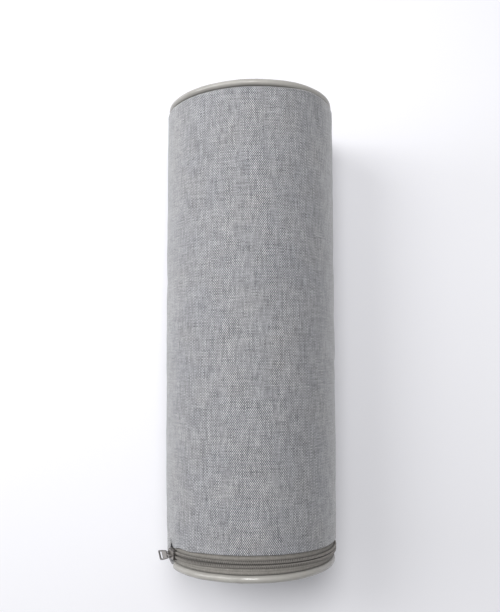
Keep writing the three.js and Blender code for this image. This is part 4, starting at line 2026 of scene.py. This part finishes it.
@dataclass
class Slider:
    """The zip's slider: a plate with two flanges over the coil, and a bridge for the pull.

    Its plate flares from the tail to the shoulder and is cut in at its corners. The flare and
    the corners are shares of its half length or of its width there.
    """

    run: ZipRun
    turn: float = 151.5
    sits_at: float = 73.5
    half_length: float = 5.7
    tail_half: float = 3.8
    shoulder_half: float = 4.35
    flare: Span = (-0.35, 0.45)
    corner_from: float = 0.78
    corner_cut: float = 0.28
    lines: int = 12
    tunnel_half: float = 3.35
    tunnel_share: float = 0.82
    tunnel_height: float = 2.2
    flange_from: float = 0.8
    height: float = 3.5
    edge: float = 0.35
    bridge_half: float = 4.0
    bridge_width: float = 1.4
    bridge_rise: float = 2.8
    bridge_thickness: float = 0.8
    bridge_sunk: float = 0.3
    bridge_square: float = 0.55
    bridge_arch: float = 0.6
    bridge_edge: float = 0.18
    bridge_steps: int = 14
    divider_radii: Pair = (0.9, 0.8)
    divider_inset: float = 1.4
    divider_edge: float = 0.15

    def seat(self) -> Matrix:
        """Where the slider sits, with x on round the roll and z outwards.

        Returns:
            The matrix, from the slider's millimetres to metres.
        """
        roll = self.run.roll
        angle = math.radians(self.turn)
        outwards = Vector((math.cos(angle), 0, math.sin(angle)))
        onwards = Vector((-math.sin(angle), 0, math.cos(angle)))
        radius = self.sits_at - roll.pinch(-roll.zip_line, self.turn)
        along = -roll.zip_line + roll.shift(-roll.zip_line, self.turn)
        middle = outwards * radius + Vector((0, along, roll.axis_height))
        turned = Matrix((onwards, outwards.cross(onwards), outwards)).transposed().to_4x4()
        return Matrix.Translation(middle * MM) @ turned @ Matrix.Scale(MM, 4)

    def station(self, reach: float) -> Station:
        """The plate's line at a reach along it.

        Args:
            reach: From the plate's middle.

        Returns:
            The line.
        """
        half = self.half_length
        flared = smooth_step(reach, self.flare[0] * half, self.flare[1] * half)
        corner = 1 - self.corner_cut * smooth_step(abs(reach), self.corner_from * half, half)
        width = blended(self.tail_half, self.shoulder_half, flared) * corner
        return Station(reach, width, min(self.tunnel_half, self.tunnel_share * width))

    def over_flange(self, face: bmesh.types.BMFace) -> bool:
        """Whether a face of the plate looks down and lies where a flange is drawn from."""
        looks_down = -face.normal.z > face.normal.xy.length
        return looks_down and abs(face.calc_center_median().y) > self.flange_from * self.tail_half

    def body(self) -> Shape:
        """The plate, with its flanges drawn down over the coil.

        Returns:
            The mesh.
        """
        half = self.half_length
        stations = [self.station(blended(-half, half, i / self.lines)) for i in range(self.lines + 1)]
        bm = cut_plate(stations, self.height - self.tunnel_height, self.height)
        bm.normal_update()
        under = [face for face in bm.faces if self.over_flange(face)]
        drawn = bmesh.ops.extrude_face_region(bm, geom=under)["geom"]
        down = [item for item in drawn if isinstance(item, bmesh.types.BMVert)]
        bmesh.ops.translate(bm, verts=down, vec=(0, 0, -self.tunnel_height))
        bmesh.ops.delete(bm, geom=[face for face in under if face.is_valid], context="FACES_ONLY")
        bmesh.ops.recalc_face_normals(bm, faces=bm.faces)
        return softened(bm, self.edge)

    def bridge(self) -> Shape:
        """The arched bar on top that holds the pull.

        Returns:
            The mesh.
        """
        bm, steps = gridded(self.bridge_steps, 2)
        foot = self.height - self.bridge_sunk
        for vertex, (column, lane) in steps.items():
            angle = math.pi * (1 - column / self.bridge_steps)
            out = math.copysign(abs(math.cos(angle)) ** self.bridge_square, math.cos(angle))
            up = max(0.0, math.sin(angle)) ** self.bridge_arch
            rise = foot + (self.bridge_rise + self.bridge_sunk) * up
            vertex.co = (out * self.bridge_half, (lane / 2 - 0.5) * self.bridge_width, rise)
        walled(bm, self.bridge_thickness)
        return softened(bm, self.bridge_edge)

    def divider(self) -> Shape:
        """The wedge at the slider's mouth that parts the two rows.

        Returns:
            The mesh.
        """
        bm = bmesh.new()
        lower, upper = self.divider_radii
        bmesh.ops.create_cone(
            bm, cap_ends=True, segments=12, radius1=lower, radius2=upper, depth=self.tunnel_height,
            matrix=Matrix.Translation((self.half_length - self.divider_inset, 0, self.tunnel_height / 2)),
        )
        return softened(bm, self.divider_edge)

    def build(self) -> Shape:
        """Joins the slider's parts and sets it on the zip.

        Returns:
            The mesh.
        """
        bm = joined([self.body(), self.bridge(), self.divider()])
        bmesh.ops.transform(bm, matrix=self.seat(), verts=bm.verts)
        return bm

    def dress(self) -> Piece:
        """Makes the slider."""
        return finished("zip_slider_body", self.build(), Finish.METAL, "zip_slider")


@dataclass
class PullTab:
    """The pull: a tapered plate with an eye round the bridge and a slot near its free end.

    Each of its corners is a reach, past which the plate's upright edges are rounded, and how
    much they are.
    """

    slider: Slider
    thickness: float = 1.0
    edge: float = 0.2
    bar_reach: float = 0.8
    bar_height: float = 4.7
    lift: float = 1.0
    lean: float = 16.0
    twist: float = -9.5
    corners: tuple[Pair, ...] = ((21.5, 1.6), (13.0, 0.9), (-1.0, 0.4))
    stations: tuple[Station, ...] = (
        Station(-0.6, 2.8, 2.0),
        Station(0.6, 2.8, 2.0, opens=True),
        Station(3.6, 2.8, 2.0, opens=True),
        Station(4.4, 3.0, 2.0),
        Station(6.2, 3.55, 2.3),
        Station(10.2, 3.8, 2.6),
        Station(14.6, 4.1, 2.95, opens=True),
        Station(20.2, 4.1, 2.95),
        Station(22.0, 4.1, 2.95),
    )

    def build(self) -> Shape:
        """Cuts the plate, rounds its corners and hangs it on the bridge.

        Returns:
            The mesh.
        """
        half = self.thickness / 2
        bm = cut_plate(self.stations, self.thickness, half)
        upright = [edge for edge in sharp_edges(bm) if abs((edge.verts[0].co - edge.verts[1].co).z) > half]
        for reach, corner in self.corners:
            chosen = [e for e in upright if e.is_valid and e.verts[0].co.x > reach]
            upright = [e for e in upright if e not in chosen]
            rounded(bm, chosen, corner, 4)
        softened(bm, self.edge)
        hung = (
            Matrix.Translation((self.bar_reach, 0, self.bar_height))
            @ Matrix.Rotation(math.radians(self.lean), 4, "Z")
            @ Matrix.Rotation(-math.radians(self.lift), 4, "Y")
            @ Matrix.Rotation(math.radians(self.twist), 4, "X")
        )
        bmesh.ops.transform(bm, matrix=self.slider.seat() @ hung, verts=bm.verts)
        return bm

    def dress(self) -> Piece:
        """Makes the pull."""
        return finished("zip_pull_tab", self.build(), Finish.METAL, "zip_pull")


# ---------------------------------------------------------------------------- the studio


@dataclass(frozen=True)
class Lamp:
    """A soft lamp, aimed at the roll: where it is and how big, in metres, and its power."""

    name: str
    place: tuple[float, float, float]
    size: float
    power: float

    def hang(self, aim: Vector) -> None:
        """Hangs the lamp.

        Args:
            aim: The point that it faces, in metres.
        """
        light = bpy.data.lights.new(self.name, "AREA")
        light.shape = "DISK"
        light.size = self.size
        light.energy = self.power
        lamp = in_scene(self.name, light)
        lamp.location = self.place
        lamp.visible_camera = False
        lamp.rotation_euler = (aim - Vector(self.place)).to_track_quat("-Z", "Y").to_euler()


@dataclass(frozen=True)
class Studio:
    """A pale floor, soft light and a camera nearly straight above. Places are in metres."""

    axis: float
    camera_place: tuple[float, float, float] = (-0.00064, -0.0276, 0.606)
    camera_lean: float = 4.53
    camera_roll: float = -0.14
    lens: float = 38.97
    floor_reach: float = 1.6
    floor_colour: Colour = (0.853, 0.851, 0.884)
    sky_colour: Colour = (0.98, 0.985, 1.0)
    sky: float = 0.298
    sky_shown: float = 0.93
    lamps: tuple[Lamp, ...] = (
        Lamp("window", (-1.1, 0.7, 1.4), 0.9, 12.6),
        Lamp("overhead", (-0.02, 0.36, 1.23), 0.52, 9.5),
        Lamp("side", (-1.8, 0.3, 0.9), 1.0, 11.8),
    )

    def lay_floor(self) -> None:
        """Lays the floor, a wide pale disc."""
        bm = bmesh.new()
        bmesh.ops.create_circle(bm, cap_ends=True, segments=64, radius=self.floor_reach)
        floor = in_scene("floor", mesh_of("floor", bm))
        paper = NodeSheet("floor_paper")
        floor.data.materials.append(
            paper.finish(Base_Color=self.floor_colour, Roughness=0.9, Specular_IOR_Level=0.1)
        )

    def light(self) -> None:
        """Sets the sky's even light, and hangs the lamps."""
        world = bpy.data.worlds.new("sky")
        world.use_nodes = True
        tree = world.node_tree
        backdrop = tree.nodes["Background"]
        backdrop.inputs["Color"].default_value = (*self.sky_colour, 1)
        ray = tree.nodes.new("ShaderNodeLightPath")
        level = tree.nodes.new("ShaderNodeMapRange")
        level.inputs["To Min"].default_value = self.sky
        level.inputs["To Max"].default_value = self.sky_shown
        tree.links.new(ray.outputs["Is Camera Ray"], level.inputs["Value"])
        tree.links.new(level.outputs["Result"], backdrop.inputs["Strength"])
        bpy.context.scene.world = world
        for lamp in self.lamps:
            lamp.hang(Vector((0, 0, self.axis)))

    def set_camera(self) -> None:
        """Sets the camera above the roll."""
        data = bpy.data.cameras.new("camera")
        data.lens = self.lens
        camera = in_scene("camera", data)
        across, along, above = self.camera_place
        camera.location = (across, along, self.axis + above)
        camera.rotation_euler = (math.radians(self.camera_lean), 0, math.radians(self.camera_roll))
        bpy.context.scene.camera = camera

    def build(self) -> None:
        """Sets up the whole studio."""
        self.lay_floor()
        self.light()
        self.set_camera()
        bpy.context.scene.view_settings.view_transform = "Standard"


def main() -> None:
    """Builds the bolster, piece by piece, and its studio."""
    logging.basicConfig(level=logging.INFO, format="%(name)s: %(message)s")
    roll = Roll.from_frame()
    cloth = SettledCloth(roll)
    sleeve = Sleeve(roll, cloth.settle())
    sleeve.dress()
    EndPanel(roll, roll.plain, "end_panel_plain", "end_disc_plain").dress()
    EndPanel(roll, roll.zipped, "end_panel_zip", "end_disc_zip").dress()
    Piping(roll, roll.plain, "piping_cord_plain", "piping_plain", gutter=0.25).dress()
    over = CordEnd(turn=151.5, reach=14.0, sinks=-1.2, slides=2.6)
    under = CordEnd(turn=158.0, reach=5.0, sinks=3.2, slides=1.5)
    Piping(roll, roll.zipped, "piping_cord_zip", "piping_zip", ends=(over, under), rim=0.4).dress()
    run = ZipRun(roll)
    ZipTape(run, Row.SLEEVE, 176.3, "tape_upper", "zip_tape_sleeve").dress()
    ZipTape(run, Row.END, 197.1, "tape_lower", "zip_tape_end").dress()
    ZipCoil(run, Row.SLEEVE, "coil_upper", "zip_coil_sleeve").dress()
    ZipCoil(run, Row.END, "coil_lower", "zip_coil_end").dress()
    coil_side = roll.coil_width - 0.05
    for name, along, radius, pitch, length, wander in (
        ("stitches_lip", -183.0, 73.3, 1.9, 1.25, sleeve.lip_wander),
        ("stitches_seam", -196.5, 73.3, 2.1, 1.3, None),
        ("stitches_coil_upper", coil_side - roll.zip_line, 73.25, 1.6, 1.1, None),
        ("stitches_coil_lower", -coil_side - roll.zip_line, 73.25, 1.6, 1.1, None),
    ):
        Stitching(run, name, along, radius, pitch, length, wander).dress()
    slider = Slider(run)
    slider.dress()
    PullTab(slider).dress()
    Studio(roll.axis_height * MM).build()


if __name__ == "__main__":
    main()
